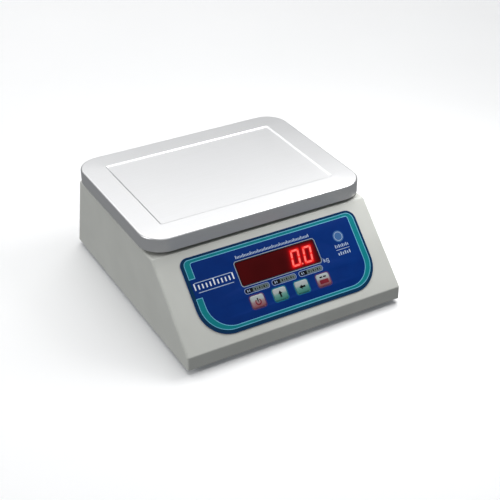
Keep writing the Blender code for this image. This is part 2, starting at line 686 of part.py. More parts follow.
def pan_cushions():
    """Rubber buttons on the arm ends that the pan rests on."""
    for number, (sx, sy) in enumerate(CORNERS, 1):
        low, high = SPIDER_TOP + GAP, PAN_UNDERSIDE - GAP
        profile = [
            (0.0, high), (CUSHION_RADIUS - 0.0020, high), (CUSHION_RADIUS, low + 0.0030),
            (CUSHION_RADIUS, low), (0.0, low)]
        turned(f"pan_cushion_{number}", profile, RUBBER,
               (sx * SPIDER_REACH[0], PAN_Y + sy * SPIDER_REACH[1], 0.0), steps=20)


def weighing_pan():
    """Pressed pan: a skirt, a rounded edge, a flat rim and a shallow step down to the middle."""
    def ring(bm, inset, height, radius):
        outline = rounded_rectangle(PAN_WIDTH - 2 * inset, PAN_DEPTH - 2 * inset, 4 * (radius,), 6)
        return [bm.verts.new((x, PAN_Y + y, PAN_Z + height)) for x, y in outline]

    def build(bm):
        rings = [ring(bm, 0.0, -PAN_SKIRT, PAN_CORNER)]
        for step in range(4):
            angle = math.radians(90 * step / 3)
            inset = PAN_EDGE_RADIUS * (1 - math.cos(angle))
            height = PAN_EDGE_RADIUS * (math.sin(angle) - 1)
            rings.append(ring(bm, inset, height, PAN_CORNER - inset))
        rings.append(ring(bm, RECESS_INSET, 0.0, RECESS_CORNER))
        rings.append(ring(bm, RECESS_INSET + RECESS_SLOPE, -RECESS_DEPTH, RECESS_CORNER))
        for lower, upper in zip(rings, rings[1:]):
            for i in range(len(lower)):
                j = (i + 1) % len(lower)
                bm.faces.new((lower[i], lower[j], upper[j], upper[i]))
        bm.faces.new(rings[-1])

    pan = finish(mesh_object("weighing_pan", build), STAINLESS)
    walls(pan, PAN_SHEET)


# ---------------------------------------------------------------- power and electronics
def battery():
    half_x, half_y = BATTERY_SIZE[0] / 2, BATTERY_SIZE[1] / 2
    x, y = BATTERY_CENTRE
    top = FLOOR_TOP + BATTERY_SIZE[2]
    box("battery", (x - half_x, y - half_y, FLOOR_TOP), (x + half_x, y + half_y, top),
        BLACK_PLASTIC, bevel=0.0015)
    front, back = y - half_y - GAP - STRAP_SHEET, y + half_y + GAP + STRAP_SHEET
    foot, crown = FLOOR_TOP + STRAP_SHEET, top + GAP + STRAP_SHEET
    section = [
        (front - STRAP_FLANGE, foot), (front, foot), (front, crown), (back, crown), (back, foot),
        (back + STRAP_FLANGE, foot)]
    folded_strip(
        "battery_strap", section, x - STRAP_HALF_WIDTH, x + STRAP_HALF_WIDTH, STRAP_SHEET, GALVANISED)


def main_board():
    x, y = MAIN_BOARD_CENTRE
    half_x, half_y = MAIN_BOARD_SIZE[0] / 2, MAIN_BOARD_SIZE[1] / 2
    box("main_board", (x - half_x, y - half_y, MAIN_BOARD_Z),
        (x + half_x, y + half_y, MAIN_BOARD_Z + MAIN_BOARD_SIZE[2]), CIRCUIT_GREEN)
    for number, (sx, sy) in enumerate(CORNERS, 1):
        cylinder(f"board_spacer_{number}", MAIN_SPACER_RADIUS, FLOOR_TOP, MAIN_BOARD_Z - GAP,
                 (x + sx * (half_x - MAIN_SPACER_INSET), y + sy * (half_y - MAIN_SPACER_INSET)),
                 ZINC, sides=16)


def crosswise_pin(name, radius, half_length, place, sides=20):
    """A cylinder along X, centred on a place."""
    pin = cylinder_object(name, radius, -half_length, half_length, (0, 0), sides)
    pin.rotation_euler = (0, math.pi / 2, 0)
    pin.location = place
    return pin


def power_switch():
    """Snap-in rocker switch on the back wall; the rocker rests with its lower half pressed in.

    The rocker turns on two trunnions in blind bearings in the housing's end walls.
    """
    x, y = SWITCH_PLACE
    low, high = GAP, SWITCH_BEZEL_HEIGHT
    housing = box(
        "switch_housing", (x - SWITCH_BEZEL[0] / 2, y - SWITCH_BEZEL[1] / 2, low),
        (x + SWITCH_BEZEL[0] / 2, y + SWITCH_BEZEL[1] / 2, high), BLACK_PLASTIC, BACK)
    boolean(housing, box_object(
        "switch_body", (x - SWITCH_BODY[0] / 2, y - SWITCH_BODY[1] / 2, -SWITCH_DEPTH),
        (x + SWITCH_BODY[0] / 2, y + SWITCH_BODY[1] / 2, low + JOIN)), "UNION", BACK)
    half_x, half_y = ROCKER_SIZE[0] / 2 + GAP, ROCKER_SIZE[1] / 2 + ROCKER_SWING
    boolean(housing, box_object(
        "switch_well", (x - half_x, y - half_y, -SWITCH_WELL_DEPTH),
        (x + half_x, y + half_y, 2 * SWITCH_BEZEL_HEIGHT)), parent=BACK)
    boolean(housing, crosswise_pin(
        "trunnion_bearing", TRUNNION_RADIUS + TRUNNION_GAP, TRUNNION_END + TRUNNION_GAP, (x, y, 0.0)),
        parent=BACK)

    pivot = bpy.data.objects.new("rocker_pivot", None)
    pivot.parent = BACK
    pivot.location = (x, y, 0.0)
    pivot.rotation_euler = (ROCKER_TILT, 0, 0)
    SCALE.objects.link(pivot)
    half = ROCKER_SIZE[1] / 2
    rise = half * math.tan(ROCKER_TILT)
    section = [
        (-half, ROCKER_BACK), (half, ROCKER_BACK), (half, ROCKER_FACE + rise), (0.0, ROCKER_FACE),
        (-half, ROCKER_FACE + rise)]

    def build(bm):
        ends = [[bm.verts.new((end, py, pz)) for py, pz in section]
                for end in (-ROCKER_SIZE[0] / 2, ROCKER_SIZE[0] / 2)]
        for i in range(len(section)):
            j = (i + 1) % len(section)
            bm.faces.new((ends[0][i], ends[1][i], ends[1][j], ends[0][j]))
        for end in ends:
            bm.faces.new(end)

    rocker = finish(mesh_object("switch_rocker", build), BLACK_PLASTIC, pivot)
    boolean(rocker, crosswise_pin("trunnions", TRUNNION_RADIUS, TRUNNION_END, (0, 0, 0)), "UNION", pivot)


def power_socket():
    """Round low-voltage socket with its centre pin."""
    profile = [
        (0.0, -0.0010), (0.0010, -0.0015), (0.0010, -0.0085), (0.0029, -0.0085), (0.0029, 0.0022),
        (0.0070, 0.0022), (0.0075, 0.0017), (0.0075, GAP), (SOCKET_RADIUS, GAP),
        (SOCKET_RADIUS, -SOCKET_DEPTH), (0.0, -SOCKET_DEPTH)]
    turned("power_socket", profile, BLACK_PLASTIC, (*SOCKET_PLACE, 0.0), BACK, 20)


def cables():
    """Leads that the housing holds all the way, ending square on the parts they join."""
    board_x, board_y = MAIN_BOARD_CENTRE
    board_front = board_y - MAIN_BOARD_SIZE[1] / 2
    board_top = MAIN_BOARD_Z + MAIN_BOARD_SIZE[2]
    cell_end = -CELL_SIZE[0] / 2
    beside_cell = PAN_Y + 0.0190
    plug_x, plug_y = board_x - 0.0250, board_front + 0.0080
    cable("load_cell_cable", [
        (cell_end - 0.0004, PAN_Y, 0.0300), (cell_end - 0.0080, PAN_Y, 0.0300),
        (cell_end - 0.0140, PAN_Y + 0.0090, 0.0240), (cell_end - 0.0080, beside_cell, 0.0150),
        (-0.0350, beside_cell, 0.0120), (0.0000, beside_cell, 0.0130), (0.0180, beside_cell, 0.0200),
        (plug_x - 0.0030, plug_y - 0.0060, 0.0270), (plug_x, plug_y, 0.0235),
        (plug_x, plug_y, board_top + CABLE_END_GAP)], LOAD_CELL_CABLE_RADIUS, CABLE_GREY)

    start = FASCIA.matrix_world @ Vector((0.0500, -0.0600, BOARD_BACK - CABLE_END_GAP))
    inward = -(FASCIA.matrix_world.to_3x3() @ Vector((0, 0, 1)))
    plug_x = board_x + 0.0250
    cable("display_cable", [
        start, start + 0.0080 * inward, (0.0640, -0.0840, 0.0300), (0.0800, -0.0500, 0.0150),
        (plug_x, -0.0100, 0.0120), (plug_x, 0.0300, 0.0150), (plug_x, board_front - 0.0060, 0.0240),
        (plug_x, plug_y - 0.0010, 0.0270), (plug_x, plug_y + 0.0030, 0.0235),
        (plug_x, plug_y + 0.0030, board_top + CABLE_END_GAP)], DISPLAY_CABLE_RADIUS, CABLE_GREY)

    start = BACK.matrix_world @ Vector((*SOCKET_PLACE, -SOCKET_DEPTH - CABLE_END_GAP))
    inward = -(BACK.matrix_world.to_3x3() @ Vector((0, 0, 1)))
    cable("power_lead", [
        start, start + 0.0060 * inward, (0.0655, 0.1330, 0.0330), (0.0650, 0.1300, 0.0250),
        (0.0650, 0.1300, board_top + CABLE_END_GAP)], POWER_LEAD_RADIUS, CABLE_GREY)


# ---------------------------------------------------------------- feet
def feet():
    """Levelling feet: a rubber-soled disc on a threaded stud, each through a nut on the floor."""
    for number, (sx, sy) in enumerate(CORNERS, 1):
        place = (sx * FOOT_X, sy * FOOT_Y, 0.0)
        profile = [
            (0.0, STUD_TOP), (STUD_RADIUS - 0.0008, STUD_TOP), (STUD_RADIUS, STUD_TOP - 0.0010),
            (STUD_RADIUS, FOOT_PAD_HEIGHT), (FOOT_RADIUS - 0.0020, FOOT_PAD_HEIGHT), (FOOT_RADIUS, 0.0035),
            (FOOT_RADIUS, 0.0008), (FOOT_RADIUS - 0.0008, 0.0), (0.0, 0.0)]
        turned(f"foot_{number}", profile, RUBBER, place, steps=24)
        nut = cylinder(
            f"foot_nut_{number}", FOOT_NUT_RADIUS, FLOOR_TOP, FLOOR_TOP + FOOT_NUT_HEIGHT, place[:2], ZINC,
            sides=6)
        drill(nut, f"nut_thread_{number}", STUD_RADIUS + GAP, 0.0, 0.03, place[:2])


housing_cover()
base_plate()
cover_rails()
cover_screws()
membrane_overlay()
display_window()
keys()
key_switches()
display_electronics()
load_cell()
cell_base_block()
cell_bolts()
overload_stop()
platform_post()
pan_spider()
pan_cushions()
weighing_pan()
battery()
main_board()
power_switch()
power_socket()
cables()
feet()
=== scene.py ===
# %% [markdown]
# # A counting scale, built piece by piece
#
# A bench counting scale is a folded sheet-steel wedge with a stainless pan on top. Its sloping
# front carries a printed membrane with four keys and a red display window. The engineering
# model fixes every size and joint, and the lesson builds the surfaces that the eye meets. Each
# step first says what the real piece is, how it could be made, and why it is made this way.

# %% Load the engineering frame
import json
import math

import bmesh
import bpy
import numpy as np
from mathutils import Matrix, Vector


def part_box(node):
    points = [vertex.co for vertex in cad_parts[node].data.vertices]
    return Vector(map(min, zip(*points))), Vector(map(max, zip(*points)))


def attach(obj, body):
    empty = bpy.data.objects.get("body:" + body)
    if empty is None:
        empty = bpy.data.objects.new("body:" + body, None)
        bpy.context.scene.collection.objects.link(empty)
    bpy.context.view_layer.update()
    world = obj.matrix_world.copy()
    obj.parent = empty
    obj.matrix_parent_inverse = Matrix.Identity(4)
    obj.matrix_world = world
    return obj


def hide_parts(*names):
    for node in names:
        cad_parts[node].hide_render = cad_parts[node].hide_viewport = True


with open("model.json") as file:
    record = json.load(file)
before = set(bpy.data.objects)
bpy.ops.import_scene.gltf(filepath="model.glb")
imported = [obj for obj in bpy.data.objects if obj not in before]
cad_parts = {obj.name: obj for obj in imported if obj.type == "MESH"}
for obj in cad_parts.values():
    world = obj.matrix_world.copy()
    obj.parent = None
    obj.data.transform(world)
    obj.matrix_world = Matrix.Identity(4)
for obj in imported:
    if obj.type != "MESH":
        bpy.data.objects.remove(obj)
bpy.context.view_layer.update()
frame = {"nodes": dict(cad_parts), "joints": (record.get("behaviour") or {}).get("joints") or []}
MM = 0.001


# %% [markdown]
# ## Colours and nodes
#
# Paint and ink colours are easiest to name as hex values, but a shader works in linear light,
# so one function turns one into the other. A second function adds any shader node with its
# settings and inputs, where an input is a plain value or a link from another node. A pattern's
# scale is the number of its features in a metre, worked out from one feature's size in mm.

# %% Helpers for materials
def hex_colour(code):
    """Linear colour of an sRGB hex code: c / 12.92 below 0.04045, else ((c + 0.055) / 1.055) ^ 2.4."""
    channels = np.array([int(code[i:i + 2], 16) / 255 for i in (1, 3, 5)])
    linear = np.where(channels <= 0.04045, channels / 12.92, ((channels + 0.055) / 1.055) ** 2.4)
    return (*linear.tolist(), 1.0)


def per_metre(size):
    """A pattern's scale: how many features of this size in mm lie in a metre."""
    return 1 / (size * MM)


def add(tree, kind, inputs=None, stops=(), out=0, **settings):
    """Add a shader node with its properties, colour stops and inputs, and return one output."""
    made = tree.nodes.new("ShaderNode" + kind)
    for name, value in settings.items():
        setattr(made, name, value)
    for socket, value in (inputs or {}).items():
        if isinstance(value, bpy.types.NodeSocket):
            tree.links.new(value, made.inputs[socket])
        else:
            made.inputs[socket].default_value = value
    for number, (place, code) in enumerate(stops):
        ramp = made.color_ramp.elements
        stop = ramp[number] if number < 2 else ramp.new(place)
        stop.position = place
        stop.color = hex_colour(code)
    return made.outputs[out] if made.outputs else None


def new_material(name):
    """An empty node material, with the tree to build it in and its piece's own coordinates."""
    made = bpy.data.materials.new(name)
    made.use_nodes = True
    made.node_tree.nodes.clear()
    return made, made.node_tree, add(made.node_tree, "TexCoord", out="Object")


def finish_material(made, tree, inputs):
    """Give the material a surface with these inputs."""
    add(tree, "OutputMaterial", {"Surface": add(tree, "BsdfPrincipled", inputs)})
    return made


print("stainless grey in linear light:", [round(c, 3) for c in hex_colour("#C8C8C6")[:3]])


# %% [markdown]
# ## From numbers to a mesh
#
# Most pieces are lofts: a stack of closed outlines with the same number of points, one ring for
# each step of the profile. Extruding and scaling by hand could make them, but a grid of points
# worked out from a formula is exact and can be changed by one number. Its first index runs up
# the profile and its second runs round the outline, so the quads between rings follow from the
# grid alone. Where a ring closes the shape, one flat face fills it.

# %% Outlines
def outline(left, right, bottom, top, radii, steps=10):
    """Rounded rectangle, anticlockwise from its upper right corner.

    Each corner is centre + r (cos a, sin a), with a over that corner's quarter turn. The
    radii go upper right, upper left, lower left, lower right.
    """
    radius = np.broadcast_to(np.asarray(radii, float), (4,))[:, None]
    corner = np.array([(right, top), (left, top), (left, bottom), (right, bottom)], float)
    centre = corner - np.array([(1, 1), (-1, 1), (-1, -1), (1, -1)], float) * radius
    turn = np.radians(90 * np.arange(4)[:, None] + np.linspace(0, 90, steps + 1)[None, :])
    x = centre[:, :1] + radius * np.cos(turn)
    y = centre[:, 1:] + radius * np.sin(turn)
    return np.stack([x.ravel(), y.ravel()], axis=1)


def grown(edges, by, radii, steps=8):
    """Rounded rectangle whose edges (left, right, bottom, top) are moved outwards."""
    left, right, bottom, top = edges
    return outline(left - by, right + by, bottom - by, top + by, radii, steps)


def about(x, y, half):
    """Edges of a rectangle about a point, from its two half sizes."""
    return x - half[0], x + half[0], y - half[1], y + half[1]


def rectangle(left, right, bottom, top):
    return [(left, bottom), (right, bottom), (right, top), (left, top)]


def circle(x, y, radius, steps=32):
    """Points of a circle: centre + r (cos a, sin a)."""
    turn = np.linspace(0, 2 * math.pi, steps, endpoint=False)
    return np.column_stack([x + radius * np.cos(turn), y + radius * np.sin(turn)])


def with_height(flat, height):
    """Outline points at one height: (x, y) becomes (x, y, height)."""
    return np.column_stack([flat, np.broadcast_to(height, len(flat))])


def drum(flat, low_z, high_z):
    """Two copies of an outline, one above the other, as a grid."""
    return np.stack([with_height(flat, low_z), with_height(flat, high_z)])


def rings_of(edges, insets, heights, radii, steps):
    """A grid of rounded rectangles, each with its own inset, height and corner radius."""
    return np.stack([
        with_height(grown(edges, -i, r, steps), h) for i, h, r in zip(insets, heights, radii)])


def unit(vectors):
    """Each row divided by its length."""
    return vectors / np.linalg.norm(vectors, axis=1)[:, None]


print("an outline with 10 steps a corner has", len(outline(-1, 1, -1, 1, 0.2)), "points")


# %% Grids into objects
def ring_quads(rings, points, closed=True):
    """Quads of a grid: corner (i, j) joins (i, j + 1), (i + 1, j + 1) and (i + 1, j)."""
    start = np.arange(rings - 1)[:, None] * points
    column = np.arange(points if closed else points - 1)[None, :]
    a = start + column
    b = start + (column + 1) % points
    return np.stack([a, b, b + points, a + points], axis=-1).reshape(-1, 4).tolist()


def capped_quads(grid, caps=(True, True)):
    """Quads of a (rings, points, 3) grid of closed rings, with its end rings filled if asked."""
    rings, points = grid.shape[:2]
    ends = [start for start, capped in zip((0, (rings - 1) * points), caps) if capped]
    return ring_quads(rings, points) + [list(range(start, start + points)) for start in ends]


def closed_mesh(name, points, faces):
    """A mesh with equal points joined, its many-sided faces cut up and its faces outward."""
    mesh = bpy.data.meshes.new(name)
    mesh.from_pydata(np.asarray(points, float).reshape(-1, 3).tolist(), [], faces)
    work = bmesh.new()
    work.from_mesh(mesh)
    bmesh.ops.remove_doubles(work, verts=work.verts, dist=1e-7)
    bmesh.ops.triangulate(work, faces=[face for face in work.faces if len(face.verts) > 4])
    bmesh.ops.recalc_face_normals(work, faces=work.faces)
    work.to_mesh(mesh)
    work.free()
    return mesh


def new_object(name, data):
    """An object in the scene, at the origin."""
    made = bpy.data.objects.new(name, data)
    bpy.context.scene.collection.objects.link(made)
    return made


def make_object(name, points, faces, look, body, slot, smooth=35.0, node=None):
    """A mesh object that rides on a body, wears a material and may replace an engineering node."""
    mesh = closed_mesh(name, points, faces)
    mesh.shade_smooth()
    mesh.set_sharp_from_angle(angle=math.radians(smooth))
    mesh.materials.append(look)
    obj = new_object(name, mesh)
    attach(obj, body)
    if node:
        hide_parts(node)
    return obj


def loft(name, grid, look, body, slot, caps=(True, True), **more):
    """A finished object from a grid of closed rings."""
    return make_object(name, grid, capped_quads(grid, caps), look, body, slot, **more)


def apply_modifiers(obj):
    """Replace an object's mesh with what its modifiers make of it."""
    evaluated = obj.evaluated_get(bpy.context.evaluated_depsgraph_get())
    finished = bpy.data.meshes.new_from_object(evaluated)
    obj.modifiers.clear()
    obj.data = finished


def count(*pieces):
    """Say how many faces the pieces have."""
    for piece in pieces:
        print(f"{piece.name}: {len(piece.data.polygons)} faces")


# %% [markdown]
# ## The fascia's own axes
#
# Everything on the sloping front is drawn flat, in millimetres right of the body's middle line
# and down the slope from its upper fold, and is then laid on the slope. Turning each object
# would do the same, but then its place would not be in its mesh. The slope comes from the frame:
# a key is pressed straight in, so its joint's axis is the fascia's normal turned round, and the
# membrane's box is centred on the membrane.

# %% Lay flat drawings on the slope
key_joint = next(joint for joint in frame["joints"] if joint["name"] == "key_1_press")
NORMAL = -Vector(key_joint["axis"]).normalized()
ACROSS = Vector((1, 0, 0))
UPHILL = NORMAL.cross(ACROSS).normalized()
MEMBRANE_TOP = 1.1
MEMBRANE_MIDDLE = 0.7
MEMBRANE_EDGES = (-117.0, 124.0, -110.0, -9.3)
low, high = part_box("membrane_overlay")
left, right, bottom, top = MEMBRANE_EDGES
flat_centre = np.array([(left + right) / 2, (bottom + top) / 2, MEMBRANE_MIDDLE])
SLOPE_AXES = np.array([ACROSS, UPHILL, NORMAL])
SLOPE_ORIGIN = np.array((low + high) / 2) - flat_centre * MM @ SLOPE_AXES


def on_fascia(points):
    """World place of fascia points in mm: origin + x across + y uphill + z out of the face."""
    return SLOPE_ORIGIN + np.asarray(points, float) * MM @ SLOPE_AXES


print("fascia slope, degrees:", round(math.degrees(math.asin(UPHILL.z)), 2))


# %% [markdown]
# ## Powder-coated sheet steel
#
# The wedge is 1.2 mm steel, folded and then powder-coated a warm light grey. Powder flows in
# the oven, so the coat is satin with a fine orange-peel swell about a millimetre across and a
# grain of a few tenths. One noise would give only one of them, so two are mixed into the bump. A
# slow third noise gives the small drift in shade that a real coat has.

# %% Powder coat
def powder_coat():
    made, tree, place = new_material("light grey powder coat")
    drift = add(tree, "TexNoise", {"Vector": place, "Scale": per_metre(45.45), "Detail": 2.0})
    colour = add(tree, "ValToRGB", {"Fac": drift}, [(0.30, "#C8C9C3"), (0.70, "#CECFC9")])
    peel = add(tree, "TexNoise", {"Vector": place, "Scale": per_metre(1.111), "Detail": 1.0})
    grain = add(tree, "TexNoise", {"Vector": place, "Scale": per_metre(0.3125), "Detail": 2.0})
    height = add(tree, "MixRGB", {"Fac": 0.45, "Color1": peel, "Color2": grain})
    normal = add(tree, "Bump", {"Strength": 0.35, "Distance": 0.06 * MM, "Height": height})
    gloss = add(tree, "MapRange", {"Value": drift, "To Min": 0.46, "To Max": 0.54})
    return finish_material(made, tree, {
        "Base Color": colour, "Roughness": gloss, "Normal": normal, "Specular IOR Level": 0.4})


POWDER_COAT = powder_coat()

# %% [markdown]
# ## The folded cover
#
# Seen from the side the cover is a five-point section: an upright lip, the sloping fascia, the
# flat top and a back that leans forward. Each fold is an arc tangent to both sheets. A Bevel on
# a plain wedge would round every edge alike, so the section is carried across the body instead,
# and near each side it shrinks along a quarter circle, which rounds the long edges in one piece
# with the side walls. A smaller copy hollows it out to the sheet's thickness, and the openings
# for the post, the keys, the window and the power fittings are cut.

# %% Cover section with its folds
low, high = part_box("housing_cover")
SHEET = 1.2 * MM
FOLD = 3.0 * MM
SIDE_EDGE = 2.6 * MM
FRONT, BACK = low.y, high.y
RIM, ROOF = low.z, high.z
HALF_WIDTH = high.x
LIP_TOP = RIM + 17.1 * MM
ROOF_FRONT = FRONT + 86.9 * MM
ROOF_BACK = FRONT + 303.4 * MM
SECTION = np.array([(FRONT, RIM), (FRONT, LIP_TOP), (ROOF_FRONT, ROOF), (ROOF_BACK, ROOF), (BACK, RIM)])


def shrunk_section(inset, rim):
    """The cover's side outline moved inwards by inset.

    Each side's line moves along its inner normal, and neighbours meet where
    n1 . p = n1 . p1 + inset and n2 . p = n2 . p2 + inset. The two ends lie on the rim's height.
    """
    along = unit(np.diff(SECTION, axis=0))
    inner = np.stack([along[:, 1], -along[:, 0]], axis=1)
    inner = np.vstack([(0.0, 1.0), inner, (0.0, 1.0)])
    reach = np.einsum("ij,ij->i", inner[1:-1], SECTION[:-1]) + inset
    reach = np.concatenate([[rim], reach, [rim]])
    pairs = np.stack([inner[:-1], inner[1:]], axis=1)
    return np.linalg.solve(pairs, np.stack([reach[:-1], reach[1:]], axis=1)[..., None])[..., 0]


def folded(corners, radius, steps=7):
    """Corners as tangent arcs: p + u r / sin(h) is the centre, where u points inwards along
    the half-angle and h is half the corner's angle. The first and last points stay."""
    middle = corners[1:-1]
    back = unit(corners[:-2] - middle)
    ahead = unit(corners[2:] - middle)
    inward = unit(back + ahead)
    half = np.arccos(np.clip(np.einsum("ij,ij->i", back, inward), -1, 1))
    centre = middle + inward * (radius / np.sin(half))[:, None]
    sweep = (half - math.pi / 2)[:, None] * np.linspace(-1, 1, steps)[None, :]
    turned = np.sign(back[:, 0] * ahead[:, 1] - back[:, 1] * ahead[:, 0])[:, None] * sweep
    x = inward[:, 1:] * np.sin(turned) - inward[:, :1] * np.cos(turned)
    y = -inward[:, :1] * np.sin(turned) - inward[:, 1:] * np.cos(turned)
    arcs = centre[:, None, :] + radius * np.stack([x, y], axis=-1)
    return np.vstack([corners[:1], arcs.reshape(-1, 2), corners[-1:]])


def cover_form(inside, rim):
    """The cover's outer form moved inwards: sections that shrink round both side edges."""
    turn = np.linspace(0, math.pi / 2, 6)
    insets = inside + SIDE_EDGE * (1 - np.sin(turn))
    places = HALF_WIDTH - inside - SIDE_EDGE * (1 - np.cos(turn))
    radii = FOLD - 0.9 * inside - 0.7 * (insets - inside)
    sections = [folded(shrunk_section(inset, rim), radius) for inset, radius in zip(insets, radii)]
    right = [np.column_stack([np.full(len(s), x), s]) for x, s in zip(places, sections)]
    return np.stack(right + [ring * (-1, 1, 1) for ring in reversed(right)])


print("cover section has", len(folded(shrunk_section(0.0, RIM), FOLD)), "points")


# %% Cutting and smoothing
def cutter(grid):
    """A capped loft that only serves to cut, and rides on nothing."""
    return new_object("cutter", closed_mesh("cutter", grid, capped_quads(grid)))


def cut(obj, tools, operation="DIFFERENCE"):
    """Subtract the tools from an object or join them to it, apply that and remove the tools."""
    for tool in tools:
        modifier = obj.modifiers.new("opening", "BOOLEAN")
        modifier.operation = operation
        modifier.object = tool
        modifier.solver = "EXACT"
    apply_modifiers(obj)
    for tool in tools:
        bpy.data.objects.remove(tool, do_unlink=True)


def hold_flat(obj, angle=30.0):
    """Weighted normals keep large faces flat beside their rounded edges."""
    obj.data.shade_smooth()
    obj.data.set_sharp_from_angle(angle=math.radians(angle))
    weights = obj.modifiers.new("flat faces", "WEIGHTED_NORMAL")
    weights.keep_sharp = True
    apply_modifiers(obj)


BACK_DOWN = Vector((0, BACK - ROOF_BACK, RIM - ROOF)).normalized()
BACK_AXES = np.array([(-1, 0, 0), -BACK_DOWN, Vector((-1, 0, 0)).cross(-BACK_DOWN)])
BACK_ORIGIN = np.array([0, BACK, RIM])


def on_back(points):
    """World place of back-wall points in mm: right, up the wall and out, seen from behind."""
    return BACK_ORIGIN + np.asarray(points, float) * MM @ BACK_AXES


print("back wall leans, degrees:", round(math.degrees(math.asin(-BACK_DOWN.z)), 1))

# %% The cover with its openings
GAP = 0.3
WINDOW = (-51.5, 56.5, -61.0, -32.0)
KEY_HALF = (8.75, 7.5)
KEY_ROW = -83.2
KEY_COLUMNS = 4.9 + 30.3 * np.arange(-1.5, 2.0)
KEY_HOLE = 3.6
SWITCH_PLACE = (-100.0, 45.0)
SWITCH_HALF = (9.5, 6.5)
SOCKET_PLACE = (-65.0, 45.0)
SOCKET_HOLE = 5.8
POST_ROOM = 2.5 * MM
WELL_CLEAR = 10 * MM


def cover():
    shell = loft("cover_shell", cover_form(0.0, RIM), POWDER_COAT, "chassis", "body_paint",
                 node="housing_cover")
    low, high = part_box("platform_post")
    post = grown((low.x, high.x, low.y, high.y), POST_ROOM, 2 * MM, 4)
    tools = [
        cutter(cover_form(SHEET, RIM - 2 * WELL_CLEAR)),
        cutter(drum(post, ROOF - WELL_CLEAR, ROOF + WELL_CLEAR))]
    openings = [(grown(WINDOW, GAP, 1, 10), on_fascia)]
    openings += [(circle(x, KEY_ROW, KEY_HOLE), on_fascia) for x in KEY_COLUMNS]
    openings.append((grown(about(*SWITCH_PLACE, SWITCH_HALF), GAP, 0.5, 10), on_back))
    openings.append((circle(*SOCKET_PLACE, SOCKET_HOLE), on_back))
    tools += [cutter(place(drum(flat, -8, 8))) for flat, place in openings]
    cut(shell, tools)
    hold_flat(shell)
    return shell


count(cover())


# %% [markdown]
# ## Satin stainless steel
#
# The pan is 1 mm stainless sheet with a satin finish of fine parallel scratches, which spread
# the reflection across themselves. They are hundredths of a millimetre apart, too fine to show,
# so they are drawn as faint streaks about 0.7 mm apart and 40 mm long: a noise squeezed across
# and drawn out along the sheet. Steel is a metal, so its colour is that of its reflection.

# %% Stainless steel
def stainless():
    made, tree, place = new_material("satin stainless steel")
    scales = (per_metre(40.0), per_metre(0.7143), per_metre(0.7143))
    drawn = add(tree, "Mapping", {"Vector": place, "Scale": scales})
    streaks = add(tree, "TexNoise", {"Vector": drawn, "Scale": 1.0, "Detail": 3.0})
    handling = add(tree, "TexNoise", {"Vector": place, "Scale": per_metre(71.43), "Detail": 3.0})
    colour = add(tree, "ValToRGB", {"Fac": streaks}, [(0.35, "#DCDCDC"), (0.65, "#DEDEDF")])
    normal = add(tree, "Bump", {"Strength": 0.03, "Distance": 0.01 * MM, "Height": streaks})
    gloss = add(tree, "MapRange", {"Value": handling, "To Min": 0.31, "To Max": 0.37})
    return finish_material(made, tree, {
        "Base Color": colour, "Metallic": 1.0, "Roughness": gloss, "Normal": normal})


STAINLESS = stainless()

# %% [markdown]
# ## The pressed pan
#
# The pan is drawn from one sheet: a straight skirt, a rounded upper edge, a flat rim and a
# shallow step down to a flat middle. Every ring is a rounded rectangle that differs from its
# neighbours in inset, height and corner radius, which a Bevel could not vary. The step is an
# S-curve, 3 t^2 - 2 t^3, which is how sheet goes over a worn press tool, and its corners are
# almost square. Pressing leaves the rim a little crowned, so it falls by a few tenths from the
# step to the edge. Solidify then gives the sheet its thickness, and a Bevel deburrs the hem.

# %% Weighing pan
low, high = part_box("weighing_pan")
PAN_EDGE = 2.5 * MM
PAN_CORNER = 30.0 * MM
STEP_INSET = 30.5 * MM
STEP_WIDTH = 2.3 * MM
STEP_LEAD = 0.4 * MM
STEP_DEPTH = 1.2 * MM
RIM_CROWN = 0.4 * MM
PAN_SHEET = 1.0 * MM


def pan():
    over = np.linspace(0, math.pi / 2, 10)
    across = np.linspace(0, 1, 9)
    rounded_in = PAN_EDGE * (1 - np.cos(over))
    inset = np.concatenate([
        [0.0, 0.0], rounded_in, [STEP_INSET - STEP_LEAD], STEP_INSET + STEP_WIDTH * across,
        [STEP_INSET + STEP_WIDTH + STEP_LEAD]])
    tall = high.z - low.z
    height = np.concatenate([
        [-tall, -tall / 2], PAN_EDGE * (np.sin(over) - 1) - RIM_CROWN, [0.0],
        -STEP_DEPTH * across ** 2 * (3 - 2 * across), [-STEP_DEPTH]])
    radius = np.concatenate([
        [PAN_CORNER] * 2, PAN_CORNER - rounded_in, [3.8 * MM], (3.4 - 2.0 * across) * MM, [1.2 * MM]])
    grid = rings_of((low.x, high.x, low.y, high.y), inset, high.z + height, radius, 14)
    made = loft("pan_shell", grid, STAINLESS, "pan", "pan_steel", (False, True), node="weighing_pan")
    wall = made.modifiers.new("sheet", "SOLIDIFY")
    wall.thickness = PAN_SHEET
    wall.offset = -1.0
    wall.use_even_offset = True
    hem = made.modifiers.new("deburred hem", "BEVEL")
    hem.width = 0.25 * MM
    hem.segments = 2
    hem.limit_method = "ANGLE"
    hem.angle_limit = math.radians(60)
    apply_modifiers(made)
    hold_flat(made, 50.0)
    return made


count(pan())


# %% [markdown]
# ## Plastics and printed film
#
# Every plastic here, moulded or printed, has the same make-up: a shade that drifts a little and
# a fine grain from its tool, so one function makes them all. The front panel is one sheet of
# polyester film, printed from behind and stuck to the fascia. Its velvet grain of 0.3 mm cuts
# glare, and its inks are flat colours: a deep blue field, a navy margin, a teal band, and white,
# black, red and green.

